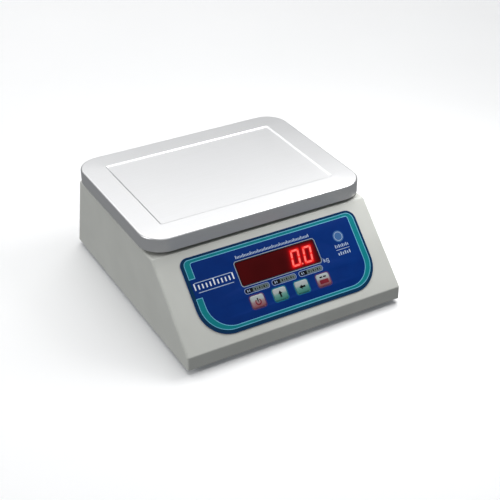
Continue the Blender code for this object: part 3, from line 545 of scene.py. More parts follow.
# %% Plastic, and inks under the film
def plastic(name, code_a, code_b, roughness, drift=25.0, grain=0.4, depth=0.04, strength=0.3, specular=0.5):
    """A plastic or rubber: its shade drifts over one size and its surface grains at another, in mm."""
    made, tree, place = new_material(name)
    cloud = add(tree, "TexNoise", {"Vector": place, "Scale": per_metre(drift), "Detail": 2.0})
    colour = add(tree, "ValToRGB", {"Fac": cloud}, [(0.3, code_a), (0.7, code_b)])
    texture = add(tree, "TexNoise", {"Vector": place, "Scale": per_metre(grain), "Detail": 1.0})
    normal = add(tree, "Bump", {"Strength": strength, "Distance": depth * MM, "Height": texture})
    return finish_material(made, tree, {
        "Base Color": colour, "Roughness": roughness, "Normal": normal, "Specular IOR Level": specular})


def ink(name, code_a, code_b):
    """A printed colour, seen through the textured film."""
    return plastic(name, code_a, code_b, 0.42, 16.67, 0.303, 0.03, 0.25, 0.07)


FIELD_BLUE = ink("blue printed film", "#002A70", "#002E76")
MARGIN_NAVY = ink("navy printed margin", "#043050", "#063456")
BAND_TEAL = ink("teal printed band", "#0C7880", "#107E86")
LINE_PALE = ink("pale blue printed line", "#6CB4D2", "#72BAD8")
PRINT_WHITE = ink("white print", "#D8DEE8", "#E2E6EE")
PRINT_BLACK = ink("black print", "#08090C", "#0B0C10")
PRINT_GREY = ink("grey printed frame", "#8B949E", "#959DA6")
PRINT_SILVER = ink("silver-blue print", "#A3B4CC", "#ABBBD1")
PRINT_STONE = ink("stone grey print", "#5F6D6B", "#677573")
SEAL_BLUE = ink("grey-blue seal print", "#3A6294", "#40689A")
# Plum and sea-green are painted glow round the keys, laid on the film like ink.
GLOW_RING_RED = ink("plum painted glow", "#5A3A66", "#603E6A")
GLOW_RING_GREEN = ink("sea-green painted glow", "#1E6E86", "#22748A")
PRINT_RED = ink("dark red print", "#76202E", "#802634")

# %% [markdown]
# ## Flat printed shapes
#
# Print could be an image, but shapes stay sharp at any distance. Two kinds cover the whole
# panel. A ribbon lies between two lines that run side by side, such as the two edges of the teal
# band. A plate fills an outline and may have holes. Print is thinner than a hair, and is drawn
# 0.04 mm thick so that it stands clear of the film.

# %% Ribbons, lines and plates
PRINT = 0.04


def ribbon(name, side_a, side_b, look, level=0, closed=True, body="chassis", slot="membrane",
           top=MEMBRANE_TOP, place=on_fascia):
    """A flat strip between two lines of points, a four-cornered section carried along them."""
    base = top + level * PRINT
    grid = np.stack([
        with_height(side_a, base + PRINT), with_height(side_b, base + PRINT),
        with_height(side_b, base), with_height(side_a, base)], axis=1)
    faces = ring_quads(len(grid), 4)
    last = 4 * (len(grid) - 1)
    if closed:
        faces += [[last + j, last + (j + 1) % 4, (j + 1) % 4, j] for j in range(4)]
    else:
        faces += [[0, 1, 2, 3], [last + 3, last + 2, last + 1, last]]
    return make_object(name, place(grid), faces, look, body, slot, 20.0)


def line(name, path, width, look, level=0, closed=True, **where):
    """A line of even width: each point moves half the width along its mitred normal.

    The normal bisects the two neighbouring segments, and is stretched by 1 / cos(half turn).
    """
    path = np.asarray(path, float)
    before = path - np.roll(path, 1, axis=0)
    after = np.roll(path, -1, axis=0) - path
    if not closed:
        before[0] = after[0]
        after[-1] = before[-1]
    before, after = unit(before), unit(after)
    bisector = unit(before + after)
    normal = np.column_stack([-bisector[:, 1], bisector[:, 0]])
    stretch = 1 / np.clip(np.einsum("ij,ij->i", bisector, after), 0.4, 1.0)
    offset = normal * (width / 2 * stretch)[:, None]
    return ribbon(name, path + offset, path - offset, look, level, closed, **where)


def flat_mesh(shapes, low_z, high_z, rounding=0.0):
    """Points and faces of a filled flat shape: the first outline is outermost, the rest are holes."""
    curve = bpy.data.curves.new("flat", "CURVE")
    curve.dimensions = "2D"
    curve.fill_mode = "BOTH"
    curve.extrude = (high_z - low_z) / 2 - rounding
    curve.bevel_depth = rounding
    curve.bevel_resolution = 2
    curve.offset = -rounding
    for shape in shapes:
        spline = curve.splines.new("POLY")
        spline.points.add(len(shape) - 1)
        ends = np.column_stack([shape, np.zeros(len(shape)), np.ones(len(shape))])
        spline.points.foreach_set("co", ends.ravel())
        spline.use_cyclic_u = True
    holder = new_object("flat", curve)
    evaluated = holder.evaluated_get(bpy.context.evaluated_depsgraph_get())
    mesh = bpy.data.meshes.new_from_object(evaluated)
    bpy.data.objects.remove(holder, do_unlink=True)
    points = np.array([v.co for v in mesh.vertices]) + (0, 0, (low_z + high_z) / 2)
    return points, [list(face.vertices) for face in mesh.polygons]


def plate(name, shapes, look, level=0, body="chassis", slot="membrane", top=MEMBRANE_TOP):
    """A printed plate laid on the fascia."""
    points, faces = flat_mesh(shapes, top + level * PRINT, top + (level + 1) * PRINT)
    return make_object(name, on_fascia(points), faces, look, body, slot, 20.0)


# %% [markdown]
# ## The membrane and its teal band
#
# The sheet has small corners above and wide ones below. Inside a navy margin runs a teal band
# with a pale line along both edges: it is broad at the sides, narrow above and below, and broken
# at the left. Its edges are two rounded rectangles with the same number of points, opened at the
# break, so a ribbon between them is the band and one line round both is its edging.

# %% Membrane sheet, margin and band
MEMBRANE_CORNERS = (13.0, 10.0, 38.0, 37.0)
MEMBRANE_ROUNDING = 0.15
GLUE = 0.05
MARGIN_INSET = 0.4
BAND_BREAK = (-59.4, -35.3)
BAND_OUTER = outline(-112.4, 120.4, -105.2, -12.7, (9.5, 6.5, 34.0, 33.0), 16)
BAND_INNER = outline(-104.8, 113.2, -101.7, -16.4, (3.0, 3.0, 31.0, 29.0), 16)


def opened_at_left(shape, low_y, high_y):
    """An outline cut open on its left side: it starts at low_y and runs round to high_y."""
    rolled = np.roll(shape, -(len(shape) // 2), axis=0)
    left = shape[:, 0].min()
    return np.vstack([(left, low_y), rolled, (left, high_y)])


def membrane():
    shapes = [outline(*MEMBRANE_EDGES, MEMBRANE_CORNERS, 16), outline(*WINDOW, 2.2, 6)]
    shapes += [grown(about(x, KEY_ROW, KEY_HALF), GAP, 2.8, 6) for x in KEY_COLUMNS]
    points, faces = flat_mesh(shapes, GLUE, MEMBRANE_TOP, MEMBRANE_ROUNDING)
    sheet = make_object("membrane_sheet", on_fascia(points), faces, FIELD_BLUE, "chassis", "membrane",
                        node="membrane_overlay")
    margin = grown(MEMBRANE_EDGES, -MARGIN_INSET, np.array(MEMBRANE_CORNERS) - MARGIN_INSET, 16)
    outer, inner = [opened_at_left(edge, *BAND_BREAK) for edge in (BAND_OUTER, BAND_INNER)]
    return [
        sheet, ribbon("print_margin", margin, BAND_OUTER, MARGIN_NAVY),
        ribbon("print_band", outer, inner, BAND_TEAL, closed=False),
        line("print_band_edging", np.vstack([outer, inner[::-1]]), 0.8, LINE_PALE, level=1)]


count(*membrane())


# %% [markdown]
# ## Red filter and lit digits
#
# The window is a dark red filter over black LED modules. Light from a lit segment spreads in the
# filter, so the window glows round it. Real scattering would be slow to render and noisy, so the
# window is a fine grid, and each of its points stores how much light reaches it: exp(-(d / s))
# from a lit segment at distance d, where s is the spread. The material turns that number into
# red light.

# %% Seven-segment geometry
DIGIT_SIZE = np.array([9.4, 18.2])
DIGIT_SLANT = math.tan(math.radians(10))
STROKE = 2.3
DIGIT_PITCH = 17.2
DIGIT_MIDDLE = -47.6
LAST_DIGIT = 43.3
POINT_GAP = 3.1
POINT_RADIUS = 1.1
ZERO_SEGMENTS = [
    ((-0.5, 0.5), (0.5, 0.5)), ((0.5, 0.5), (0.5, 0.0)), ((0.5, 0.0), (0.5, -0.5)),
    ((-0.5, -0.5), (0.5, -0.5)), ((-0.5, 0.0), (-0.5, -0.5)), ((-0.5, 0.5), (-0.5, 0.0))]


def slanted(points, centre_x):
    """Lean digit points over: x grows by y tan(10 degrees)."""
    points = np.asarray(points, float)
    x = centre_x + points[..., 0] + DIGIT_SLANT * points[..., 1]
    return np.stack([x, DIGIT_MIDDLE + points[..., 1]], axis=-1)


tens = LAST_DIGIT - DIGIT_PITCH
lit_ends = np.concatenate([slanted(np.array(ZERO_SEGMENTS) * DIGIT_SIZE, x) for x in (tens, LAST_DIGIT)])
POINT_PLACE = slanted((DIGIT_SIZE[0] / 2 + POINT_GAP, -DIGIT_SIZE[1] / 2), tens)
print("lit segments:", len(lit_ends), "and the point at", POINT_PLACE.round(1))


# %% Window materials
def red_filter():
    made, tree, place = new_material("red filter acrylic")
    glow = add(tree, "Attribute", out="Fac", attribute_name="glow")
    light = add(tree, "ValToRGB", {"Fac": glow}, [
        (0.0, "#000000"), (0.35, "#7A0006"), (0.75, "#C80A0C"), (1.0, "#FF3A30")])
    depth = add(tree, "TexNoise", {"Vector": place, "Scale": per_metre(28.57), "Detail": 1.0})
    colour = add(tree, "ValToRGB", {"Fac": depth}, [(0.3, "#400305"), (0.7, "#4A0406")])
    return finish_material(made, tree, {
        "Base Color": colour, "Roughness": 0.25, "Specular IOR Level": 0.08,
        "Emission Color": light, "Emission Strength": 1.0})


def lit_led():
    made, tree, place = new_material("lit red segment")
    chips = add(tree, "TexNoise", {"Vector": place, "Scale": per_metre(5.556), "Detail": 1.0})
    light = add(tree, "ValToRGB", {"Fac": chips}, [(0.3, "#FF5A50"), (0.7, "#FF8074")])
    return finish_material(made, tree, {
        "Base Color": hex_colour("#5A0808"), "Roughness": 0.35,
        "Emission Color": light, "Emission Strength": 1.0})


RED_FILTER = red_filter()
LIT_LED = lit_led()

# %% Window grid
GLOW_SPREAD = 1.9
NEAREST_SHARE, TOTAL_SHARE = 0.75, 0.10
FILTER_TOP = MEMBRANE_TOP - 0.25
FILTER_BACK = -1.0


def glow_at(points):
    """Light at window points: the nearest segment's exp(-(d / s)), and a little of them all."""
    a, b = lit_ends[:, 0], lit_ends[:, 1]
    along = b - a
    from_a = points[:, None, :] - a
    share = np.clip(np.einsum("psk,sk->ps", from_a, along) / np.einsum("sk,sk->s", along, along), 0, 1)
    distance = np.linalg.norm(from_a - share[..., None] * along, axis=2)
    light = np.exp(-np.clip(distance - STROKE / 2, 0, None) / GLOW_SPREAD)
    return np.clip(NEAREST_SHARE * light.max(axis=1) + TOTAL_SHARE * light.sum(axis=1), 0, 1)


def window():
    """The filter's front is a fine grid, and its rim is carried straight back to a flat face."""
    left, right, bottom, top = WINDOW
    x = np.linspace(left + GAP, right - GAP, 201)
    y = np.linspace(bottom + GAP, top - GAP, 55)
    front = with_height(np.stack(np.meshgrid(x, y), axis=-1).reshape(-1, 2), FILTER_TOP)
    index = np.arange(len(front)).reshape(len(y), len(x))
    rim = np.concatenate([index[0, :-1], index[:-1, -1], index[-1, :0:-1], index[:0:-1, 0]])
    back = front[rim] * (1, 1, 0) + (0, 0, FILTER_BACK)
    base = len(front) + np.arange(len(rim))
    faces = ring_quads(len(y), len(x), closed=False)
    faces += np.stack([rim, base, np.roll(base, -1), np.roll(rim, -1)], axis=1).tolist()
    faces.append(base.tolist())
    points = np.vstack([front, back])
    made = make_object("display_filter", on_fascia(points), faces, RED_FILTER, "chassis", "red_filter",
                       40.0, "display_window")
    glow = made.data.attributes.new("glow", "FLOAT", "POINT")
    glow.data.foreach_set("value", glow_at(points[:, :2]).astype(np.float32))
    return made


count(window())


# %% Lit segments and the window's frame line
def segment_outlines(ends, shorten=0.55):
    """Six-cornered segments: the middle line's ends come to points, and the sides are parallel."""
    a, b = ends[:, 0], ends[:, 1]
    along = unit(b - a)
    side = np.stack([-along[:, 1], along[:, 0]], axis=1) * STROKE / 2
    a, b = a + along * shorten, b - along * shorten
    chamfer = along * STROKE / 2
    return np.stack([
        a, a + chamfer + side, b - chamfer + side, b, b - chamfer - side, a + chamfer - side], axis=1)


def lit_digits():
    shapes = {f"lit_segment_{n}": flat for n, flat in enumerate(segment_outlines(lit_ends), 1)}
    shapes["lit_point"] = circle(*POINT_PLACE, POINT_RADIUS, 20)
    return [plate(name, [flat], LIT_LED, slot="red_filter", top=FILTER_TOP) for name, flat in shapes.items()]


def window_frame():
    return [
        ribbon("print_window_shadow", grown(WINDOW, 0.9, 3.0), grown(WINDOW, 0.1, 2.3), PRINT_BLACK),
        ribbon("print_window_frame", grown(WINDOW, 1.9, 4.0), grown(WINDOW, 0.9, 3.0), PRINT_GREY)]


count(*lit_digits(), *window_frame())


# %% [markdown]
# ## Keys
#
# The four keys are pillowed tops with a printed fade from white at the top to green or red
# below. A loft of shrinking rounded squares makes the pillow: the height over the edge is
# d (1 - (1 - t)^2) as the ring shrinks by t. The fade needs the key's own up direction, so each
# key carries a UV map of its flat drawing, and the colour ramp reads its vertical part.

# %% Key tops
def key_print(name, low_code, middle_code):
    made, tree, place = new_material(name)
    uv = add(tree, "UVMap", uv_map="face")
    up = add(tree, "SeparateXYZ", {"Vector": uv}, out="Y")
    colour = add(tree, "ValToRGB", {"Fac": up}, [(0.02, low_code), (0.45, middle_code), (0.66, "#A4ACAC")])
    grain = add(tree, "TexNoise", {"Vector": place, "Scale": per_metre(0.303), "Detail": 1.0})
    normal = add(tree, "Bump", {"Strength": 0.2, "Distance": 0.03 * MM, "Height": grain})
    return finish_material(made, tree, {"Base Color": colour, "Roughness": 0.35, "Normal": normal})


KEY_RED = key_print("red and white key print", "#7C3844", "#947478")
KEY_GREEN = key_print("green and white key print", "#186E62", "#5C9488")
KEY_LOOKS = (KEY_RED, KEY_GREEN, KEY_GREEN, KEY_RED)
KEY_TOP = 1.9
KEY_BOTTOM = 0.9
PILLOW = 0.45
PILLOW_EDGE = 0.2
PLUNGER_RADIUS = 2.9
PLUNGER_END = -3.4


def key(number, x, look):
    shrink = np.linspace(0, 1, 9)[1:-1]
    shoulder = KEY_TOP - PILLOW
    insets = np.concatenate([[0.3, 0.0, 0.0, 0.25], 0.25 + 6.6 * shrink])
    heights = np.concatenate([
        [KEY_BOTTOM, KEY_BOTTOM + 0.3, shoulder, shoulder + PILLOW_EDGE],
        shoulder + PILLOW_EDGE + (PILLOW - PILLOW_EDGE) * (1 - (1 - shrink) ** 2)])
    radii = np.maximum(2.5 - 0.35 * insets, 0.4)
    grid = rings_of(about(x, KEY_ROW, KEY_HALF), insets, heights, radii, 6)
    body = f"key_{number}"
    made = loft(f"key_top_{number}", on_fascia(grid), look, body, "key_plastic", smooth=50.0, node=body)
    places = np.array([v.co for v in made.data.vertices])
    flat = (places - SLOPE_ORIGIN) @ SLOPE_AXES.T / MM
    face_uv = (flat[:, :2] - (x, KEY_ROW)) / (2 * np.array(KEY_HALF)) + 0.5
    corners = np.array([loop.vertex_index for loop in made.data.loops])
    made.data.uv_layers.new(name="face").data.foreach_set("uv", face_uv[corners].ravel())
    plunger = drum(circle(x, KEY_ROW, PLUNGER_RADIUS, 24), PLUNGER_END, KEY_BOTTOM + 0.1)
    loft(f"key_plunger_{number}", on_fascia(plunger), look, body, "key_plastic")
    return made


count(*(key(number, x, look) for number, (x, look) in enumerate(zip(KEY_COLUMNS, KEY_LOOKS), 1)))

# %% [markdown]
# ## Key symbols
#
# The symbols are plain and generic: a power ring, an up arrow, a left arrow and a zero bar. They
# are pieces of their own, a little above the pillow, and ride on their keys, so that they travel
# with a press.

# %% Symbols on the keys
SYMBOL_TOP = KEY_TOP - 0.01
RING_DROP = 0.8
SYMBOLS = [
    ("bar", 1, rectangle(-0.75, 0.75, -0.6, 3.9)),
    ("up", 2, [(-1.1, -4.0), (1.1, -4.0), (1.1, 0.3), (2.7, 0.3), (0, 4.2), (-2.7, 0.3), (-1.1, 0.3)]),
    ("left", 3, [(4.2, 1.1), (4.2, -1.1), (-0.2, -1.1), (-0.2, -2.8), (-4.2, 0), (-0.2, 2.8), (-0.2, 1.1)]),
    ("dash_left", 4, rectangle(-4.6, -0.6, 2.7, 4.5)), ("dash_right", 4, rectangle(0.6, 4.6, 2.7, 4.5)),
    ("zero_bar", 4, outline(-6.0, 6.0, -4.6, 0.4, 0.8, 5))]


def symbols():
    """The open power ring as a line, and every other symbol as a plate about its key's centre."""
    sweep = np.radians(np.linspace(125, 415, 30))
    ring = 3.3 * np.column_stack([np.cos(sweep), np.sin(sweep)]) + (KEY_COLUMNS[0], KEY_ROW - RING_DROP)
    made = [line("key_symbol_ring", ring, 1.5, PRINT_RED, closed=False, body="key_1",
                 slot="key_plastic", top=SYMBOL_TOP)]
    for name, number, shape in SYMBOLS:
        look = PRINT_RED if name == "zero_bar" else PRINT_BLACK
        flat = np.asarray(shape, float) + (KEY_COLUMNS[number - 1], KEY_ROW)
        made.append(plate(f"key_symbol_{name}", [flat], look, 0, f"key_{number}", "key_plastic", SYMBOL_TOP))
    return made


count(*symbols())

# %% [markdown]
# ## Labels and marks in print
#
# The rest of the panel is small print, and a ring of painted glow lies round each key. Three
# pills label the weighing ranges: a black end, a grey field and a thin outline. Above the window
# and at the left run graduations, and at the right is a plain seal disc. They hold no words. The
# unit beside the window is kg, drawn as strokes, because a real panel's letters are lines of one width.

# %% Pills
PILL_LEFTS = (-52.2, -15.2, 22.2)
PILL_LENGTH = 33.0
PILL_DARK_PART = 11.0
PILL_BOTTOM, PILL_TOP = -71.6, -65.0
PILL_EDGE = 0.8
PILL_MARKS = -69.6


def bars(name, centres, widths, low_y, heights, look, level=1):
    """Upright bars as one plate: each runs from low_y to low_y + its height."""
    return plate(name, [rectangle(x - w / 2, x + w / 2, low_y, low_y + h)
                        for x, w, h in zip(centres, widths, heights)], look, level)


def pill(number, left):
    right = left + PILL_LENGTH
    split = left + PILL_DARK_PART
    inside = (PILL_BOTTOM + PILL_EDGE, PILL_TOP - PILL_EDGE)
    field = outline(split, right - PILL_EDGE, *inside, (1.6, 0.1, 0.1, 1.6), 6)
    end = outline(left + PILL_EDGE, split, *inside, (0.1, 2.2, 2.2, 0.1), 6)
    return [
        plate(f"print_pill_field_{number}", [field], PRINT_STONE),
        plate(f"print_pill_end_{number}", [end], PRINT_BLACK),
        line(f"print_pill_outline_{number}", outline(left, right, PILL_BOTTOM, PILL_TOP, 2.8, 6), 0.5,
             PRINT_SILVER),
        bars(f"print_pill_marks_{number}", np.linspace(split + 3.0, right - 4.0, 6), [1.6, 1.0] * 3,
             PILL_MARKS, [2.6, 2.0] * 3, PRINT_BLACK),
        bars(f"print_pill_sign_{number}", [left + 4.0, left + 6.4], [1.3, 0.8], PILL_MARKS, [2.6, 2.6],
             PRINT_SILVER)]


count(*(piece for number, left in enumerate(PILL_LEFTS, 1) for piece in pill(number, left)))

# %% Graduations, seal and unit
SEAL_PLACE = (91.2, -37.8)
UNIT_PLACE = (60.3, -63.6)


def graduation(name, left, right, step, low_y, tall, short, width, look):
    """A ruler's ticks: every fifth tick stands tall and the others are short."""
    places = np.arange(left, right + step / 2, step)
    heights = np.where(np.arange(len(places)) % 5 == 0, tall, short)
    return bars(name, places, np.full(len(places), width), low_y, heights, look)


def panel_marks():
    made = [
        graduation("print_top_graduation", -47.6, 52.4, 2.0, -27.8, 3.9, 2.7, 1.15, PRINT_SILVER),
        graduation("print_left_graduation", -109.0, -59.0, 5.0, -49.4, 8.2, 5.6, 1.7, PRINT_WHITE),
        plate("print_left_rule_top", [rectangle(-108.0, -59.9, -41.4, -40.5)], PRINT_SILVER),
        plate("print_left_rule_bottom", [rectangle(-106.5, -60.5, -53.4, -52.5)], PRINT_SILVER),
        plate("print_seal", [circle(*SEAL_PLACE, 7.3, 48)], SEAL_BLUE),
        line("print_seal_ring", circle(*SEAL_PLACE, 5.4, 48), 0.6, PRINT_SILVER, 1)]
    # Each key gets a ring of painted glow: plum round the red keys, sea-green round the green ones.
    glow_looks = (GLOW_RING_RED, GLOW_RING_GREEN, GLOW_RING_GREEN, GLOW_RING_RED)
    for number, (x, look) in enumerate(zip(KEY_COLUMNS, glow_looks), 1):
        edges = about(x, KEY_ROW, KEY_HALF)
        made.append(ribbon(f"painted_key_glow_{number}", grown(edges, 1.5, 3.8), grown(edges, 0.35, 2.8), look))
    marks = 82.5 + 2.5 * np.arange(8)
    lower = 83.5 + 3.1 * np.arange(6)
    return made + [
        bars("print_seal_marks", marks, [1.4, 1.0] * 4, -51.6, [4.0, 3.2] * 4, PRINT_SILVER),
        bars("print_seal_rule", [SEAL_PLACE[0]], [19.0], -54.6, [0.7], PRINT_SILVER),
        bars("print_seal_lower", lower, [1.5] * 6, -61.2, [3.2, 4.2] * 3, PRINT_SILVER)]


def unit_mark():
    """The letters k and g as strokes, each path in mm from the unit's lower left corner."""
    turn = np.radians(np.linspace(0, 360, 20))
    paths = dict(
        stem=[(0.0, 0.0), (0.0, 5.2)], arm=[(0.2, 1.5), (2.5, 3.7)], leg=[(0.9, 2.3), (2.8, 0.0)],
        bowl=np.column_stack([5.2 + 1.45 * np.cos(turn), 2.0 + 1.6 * np.sin(turn)]),
        tail=[(6.7, 3.7), (6.7, -0.7), (5.9, -1.5), (4.1, -1.3)])
    return [line(f"print_unit_{part}", np.array(path) + UNIT_PLACE, 0.8, PRINT_SILVER, closed=False)
            for part, path in paths.items()]


count(*panel_marks(), *unit_mark())


# %% [markdown]
# ## Metals, rubber and plastic of the smaller parts
#
# The hidden and half-hidden parts keep their engineering shapes where those are already the real
# shape, and get their real finish. Zinc plate is bright with a faint cloud. Hot-dip galvanised
# sheet shows spangle, cells a centimetre across. Extruded aluminium is drawn along its length,
# and a sand casting is grainy. Moulded plastic has a fine spark-eroded texture.

# %% Small-part materials
def metal(name, code_a, code_b, roughness, drift, grain, depth, stretch=(1, 1, 1)):
    """A metal: its shade clouds over one size in mm and its surface grains at another, which a
    stretch below 1 draws out along that axis."""
    made, tree, place = new_material(name)
    drawn = add(tree, "Mapping", {"Vector": place, "Scale": stretch})
    cloud = add(tree, "TexNoise", {"Vector": place, "Scale": per_metre(drift), "Detail": 2.0})
    colour = add(tree, "ValToRGB", {"Fac": cloud}, [(0.3, code_a), (0.7, code_b)])
    texture = add(tree, "TexNoise", {"Vector": drawn, "Scale": per_metre(grain), "Detail": 2.0})
    normal = add(tree, "Bump", {"Strength": 0.3, "Distance": depth * MM, "Height": texture})
    gloss = add(tree, "MapRange", {
        "Value": cloud, "To Min": roughness - 0.05, "To Max": roughness + 0.05})
    return finish_material(made, tree, {
        "Base Color": colour, "Metallic": 1.0, "Roughness": gloss, "Normal": normal})


def galvanised():
    made, tree, place = new_material("hot-dip galvanised sheet")
    spangle = add(tree, "TexVoronoi", {"Vector": place, "Scale": per_metre(10.53)}, out="Color")
    tone = add(tree, "SeparateColor", {"Color": spangle})
    colour = add(tree, "ValToRGB", {"Fac": tone}, [(0.0, "#9DA3A8"), (1.0, "#C2C6C9")])
    other_tone = tone.node.outputs["Green"]
    gloss = add(tree, "MapRange", {"Value": other_tone, "To Min": 0.32, "To Max": 0.5})
    return finish_material(made, tree, {"Base Color": colour, "Metallic": 1.0, "Roughness": gloss})


def circuit_board():
    """Green solder mask over copper: tracks follow the bands of a brick pattern 2.5 mm apart."""
    made, tree, place = new_material("green solder mask board")
    tracks = add(tree, "TexBrick", {
        "Vector": place, "Scale": 1.0, "Mortar Size": 0.5 * MM, "Mortar Smooth": 0.1,
        "Brick Width": 9 * MM, "Row Height": 2.5 * MM, "Color1": hex_colour("#0E5A34"),
        "Color2": hex_colour("#0C5230"), "Mortar": hex_colour("#2E8A50")})
    return finish_material(made, tree, {
        "Base Color": tracks, "Roughness": 0.3, "Coat Weight": 0.4, "Coat Roughness": 0.15})


ZINC = metal("bright zinc plate", "#BFC3C8", "#CED1D4", 0.28, 3.846, 0.4, 0.01)
ALUMINIUM = metal("machined aluminium", "#C3C5C8", "#CDCFD1", 0.33, 8.333, 0.6667, 0.01, (0.03, 1, 1))
CAST_ALUMINIUM = metal("sand-cast aluminium", "#A9ABAE", "#B9BBBD", 0.52, 6.25, 0.7143, 0.12)
BLACK_PLASTIC = plastic("black moulded nylon", "#17181A", "#1C1D1F", 0.42)
RUBBER = plastic("black rubber", "#1A1A1A", "#222222", 0.72, grain=0.625, depth=0.06)

SLOT_LOOKS = {
    "body_paint": POWDER_COAT, "pan_steel": STAINLESS, "membrane": FIELD_BLUE, "red_filter": RED_FILTER,
    "key_plastic": plastic("pale moulded key body", "#D8DAD8", "#DEE0DE", 0.4),
    "led_plastic": plastic("black display module", "#0E0E10", "#141416", 0.35),
    "circuit_board": circuit_board(), "black_plastic": BLACK_PLASTIC,
    "battery_case": plastic("grey battery case", "#4A4F55", "#545A60", 0.5), "rubber": RUBBER,
    "zinc_steel": ZINC, "galvanised": galvanised(), "aluminium": ALUMINIUM,
    "cast_aluminium": CAST_ALUMINIUM, "cable": plastic("grey cable sheath", "#5C5F63", "#66696D", 0.45)}
for node in frame["nodes"].values():
    node.data.materials[0] = SLOT_LOOKS[node.data.materials[0].name.split(".")[0]]
print("finished", len(frame["nodes"]), "engineering nodes with", len(SLOT_LOOKS), "materials")

# %% [markdown]
# ## Feet, nuts and screws
#
# Each foot is a rubber pad moulded round the head of a threaded stud, and a locknut holds it
# under the base. The pad has flutes to grip with the fingers. A Screw modifier could turn a
# profile, but not one that changes with the angle, so everything round is one grid: radius as a
# function of height and angle. Flutes add a cosine of the angle. A thread adds a cosine of the
# angle less the height over the pitch. A hexagon's radius is its flat distance over cos(a), and
# a nut is the smaller of that hexagon and a cone.

# %% Round parts from a radius formula
def full_turn(steps):
    return np.linspace(0, 2 * math.pi, steps, endpoint=False)


def hexagon_radius(angle, flat):
    """Distance from the centre to a hexagon's side: flat / cos(angle from the nearest flat)."""
    return flat / np.cos((angle + math.pi / 6) % (math.pi / 3) - math.pi / 6)


def round_part(name, centre, heights, radii, look, body, slot, node=None, place=np.asarray):
    """A loft about an upright axis: radii is (rings,) or (rings, angles), and may vary with angle."""
    radii = np.asarray(radii, float)
    if radii.ndim == 1:
        radii = np.repeat(radii[:, None], 36, axis=1)
    angle = full_turn(radii.shape[1])
    upright = np.repeat(np.asarray(heights, float)[:, None], len(angle), axis=1)
    grid = np.stack([
        centre[0] + radii * np.cos(angle), centre[1] + radii * np.sin(angle), upright], axis=-1)
    return loft(name, place(grid), look, body, slot, smooth=40.0, node=node)


# %% Levelling feet
PAD_TOP = 5.5 * MM
THREAD_PITCH = 1.25 * MM
THREAD_DEPTH = 0.32 * MM
THREAD_RADIUS = 3.68 * MM
PAD_HEIGHTS = np.array([0.0, 0.0, 0.0, 0.5, 1.2, 4.2, 5.0, 5.5, 5.5]) * MM
PAD_SCALES = np.array([0.30, 0.62, 0.86, 0.94, 0.955, 0.965, 0.945, 0.88, 0.42])
PAD_FLUTES = np.array([0, 0, 0, 0.4, 1, 1, 0.7, 0.1, 0]) * 0.035


def foot(number):
    low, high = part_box(f"foot_{number}")
    centre = (low + high) / 2
    scales = PAD_SCALES[:, None] + PAD_FLUTES[:, None] * np.cos(24 * full_turn(144))
    body = f"foot_{number}"
    pad = round_part(f"foot_pad_{number}", centre, PAD_HEIGHTS, (high.x - centre.x) * scales, RUBBER, body,
                     "rubber", body)
    steps = 8 * int((high.z - PAD_TOP) / THREAD_PITCH)
    height = np.linspace(PAD_TOP - 0.2 * MM, high.z - 0.6 * MM, steps)
    turn = full_turn(24)
    spiral = turn[None, :] - 2 * math.pi * height[:, None] / THREAD_PITCH
    tip = np.full((1, len(turn)), THREAD_RADIUS - 0.5 * MM)
    stem = round_part(
        f"foot_stud_{number}", centre, np.append(height, high.z),
        np.vstack([THREAD_RADIUS + THREAD_DEPTH * np.cos(spiral), tip]), ZINC, body, "zinc_steel")
    return [pad, stem]


count(*[piece for number in range(1, 5) for piece in foot(number)])

# %% Locknuts and cap screws
NUT_CHAMFER = 0.6 * MM


def nut(number):
    node = f"foot_nut_{number}"
    low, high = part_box(node)
    flat = min(high.x - low.x, high.y - low.y) / 2
    height = [low.z, low.z, low.z + NUT_CHAMFER, high.z - NUT_CHAMFER, high.z, high.z]
    cone = flat * np.array([0.62, 0.98, 1.17, 1.17, 0.98, 0.62])
    radii = np.minimum(hexagon_radius(full_turn(96), flat)[None, :], cone[:, None])
    centre = (low + high) / 2
    return round_part(f"locknut_{number}", centre, height, radii, ZINC, "chassis", "zinc_steel", node)


def socket_screw(node, body, head_radius, shank_radius, head_height, down):
    """A cap screw with a hexagon socket, its head at the top of the node's box, or below if down."""
    low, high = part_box(node)
    face, tip, inward = (low.z, high.z, 1) if down else (high.z, low.z, -1)
    hexagon = hexagon_radius(full_turn(48), 0.46 * head_radius)
    chamfer = 0.1 * head_height
    rims = [head_radius - chamfer, head_radius, head_radius, shank_radius, shank_radius,
            shank_radius - chamfer]
    radii = np.vstack([hexagon, hexagon * 1.04, np.repeat(np.array(rims)[:, None], 48, axis=1)])
    depth = np.array([0.6 * head_height, 0.0, 0.0, chamfer, head_height, head_height])
    heights = np.concatenate([face + inward * depth, [tip - inward * chamfer, tip]])
    centre = (low + high) / 2
    return round_part(f"{node}_finished", centre, heights, radii, ZINC, body, "zinc_steel", node)


COVER_SCREW = (4.0 * MM, 2.0 * MM, 2.4 * MM, True)
LOWER_BOLT = (5.2 * MM, 3.0 * MM, 4.0 * MM, True)
UPPER_BOLT = (5.0 * MM, 3.0 * MM, 6.0 * MM, False)
count(*[nut(number) for number in range(1, 5)])
screws = [socket_screw(f"cover_screw_{number}", "chassis", *COVER_SCREW) for number in range(1, 5)]
for number in (1, 2):
    screws.append(socket_screw(f"cell_bolt_lower_{number}", "chassis", *LOWER_BOLT))
    screws.append(socket_screw(f"cell_bolt_upper_{number}", "platform", *UPPER_BOLT))
count(*screws)

# %% [markdown]
# ## The spider and its cushions
#
# Under the pan lies a sand-cast aluminium cross, screwed to the load cell's free end. Its edges
# are rounded so that the casting leaves the sand. A hub and two arms are lofted and joined. Four
# rubber buttons carry the pan, which simply rests on them and lifts off for cleaning.

# %% Cast spider
CAST_ROUNDING = 1.2 * MM
HUB_HALF = (75 * MM, 22 * MM)
ARM_HALF_WIDTH = 11 * MM
ARM_PAST_CUSHION = 11.5 * MM
BOLT_HOLE = 3.4 * MM


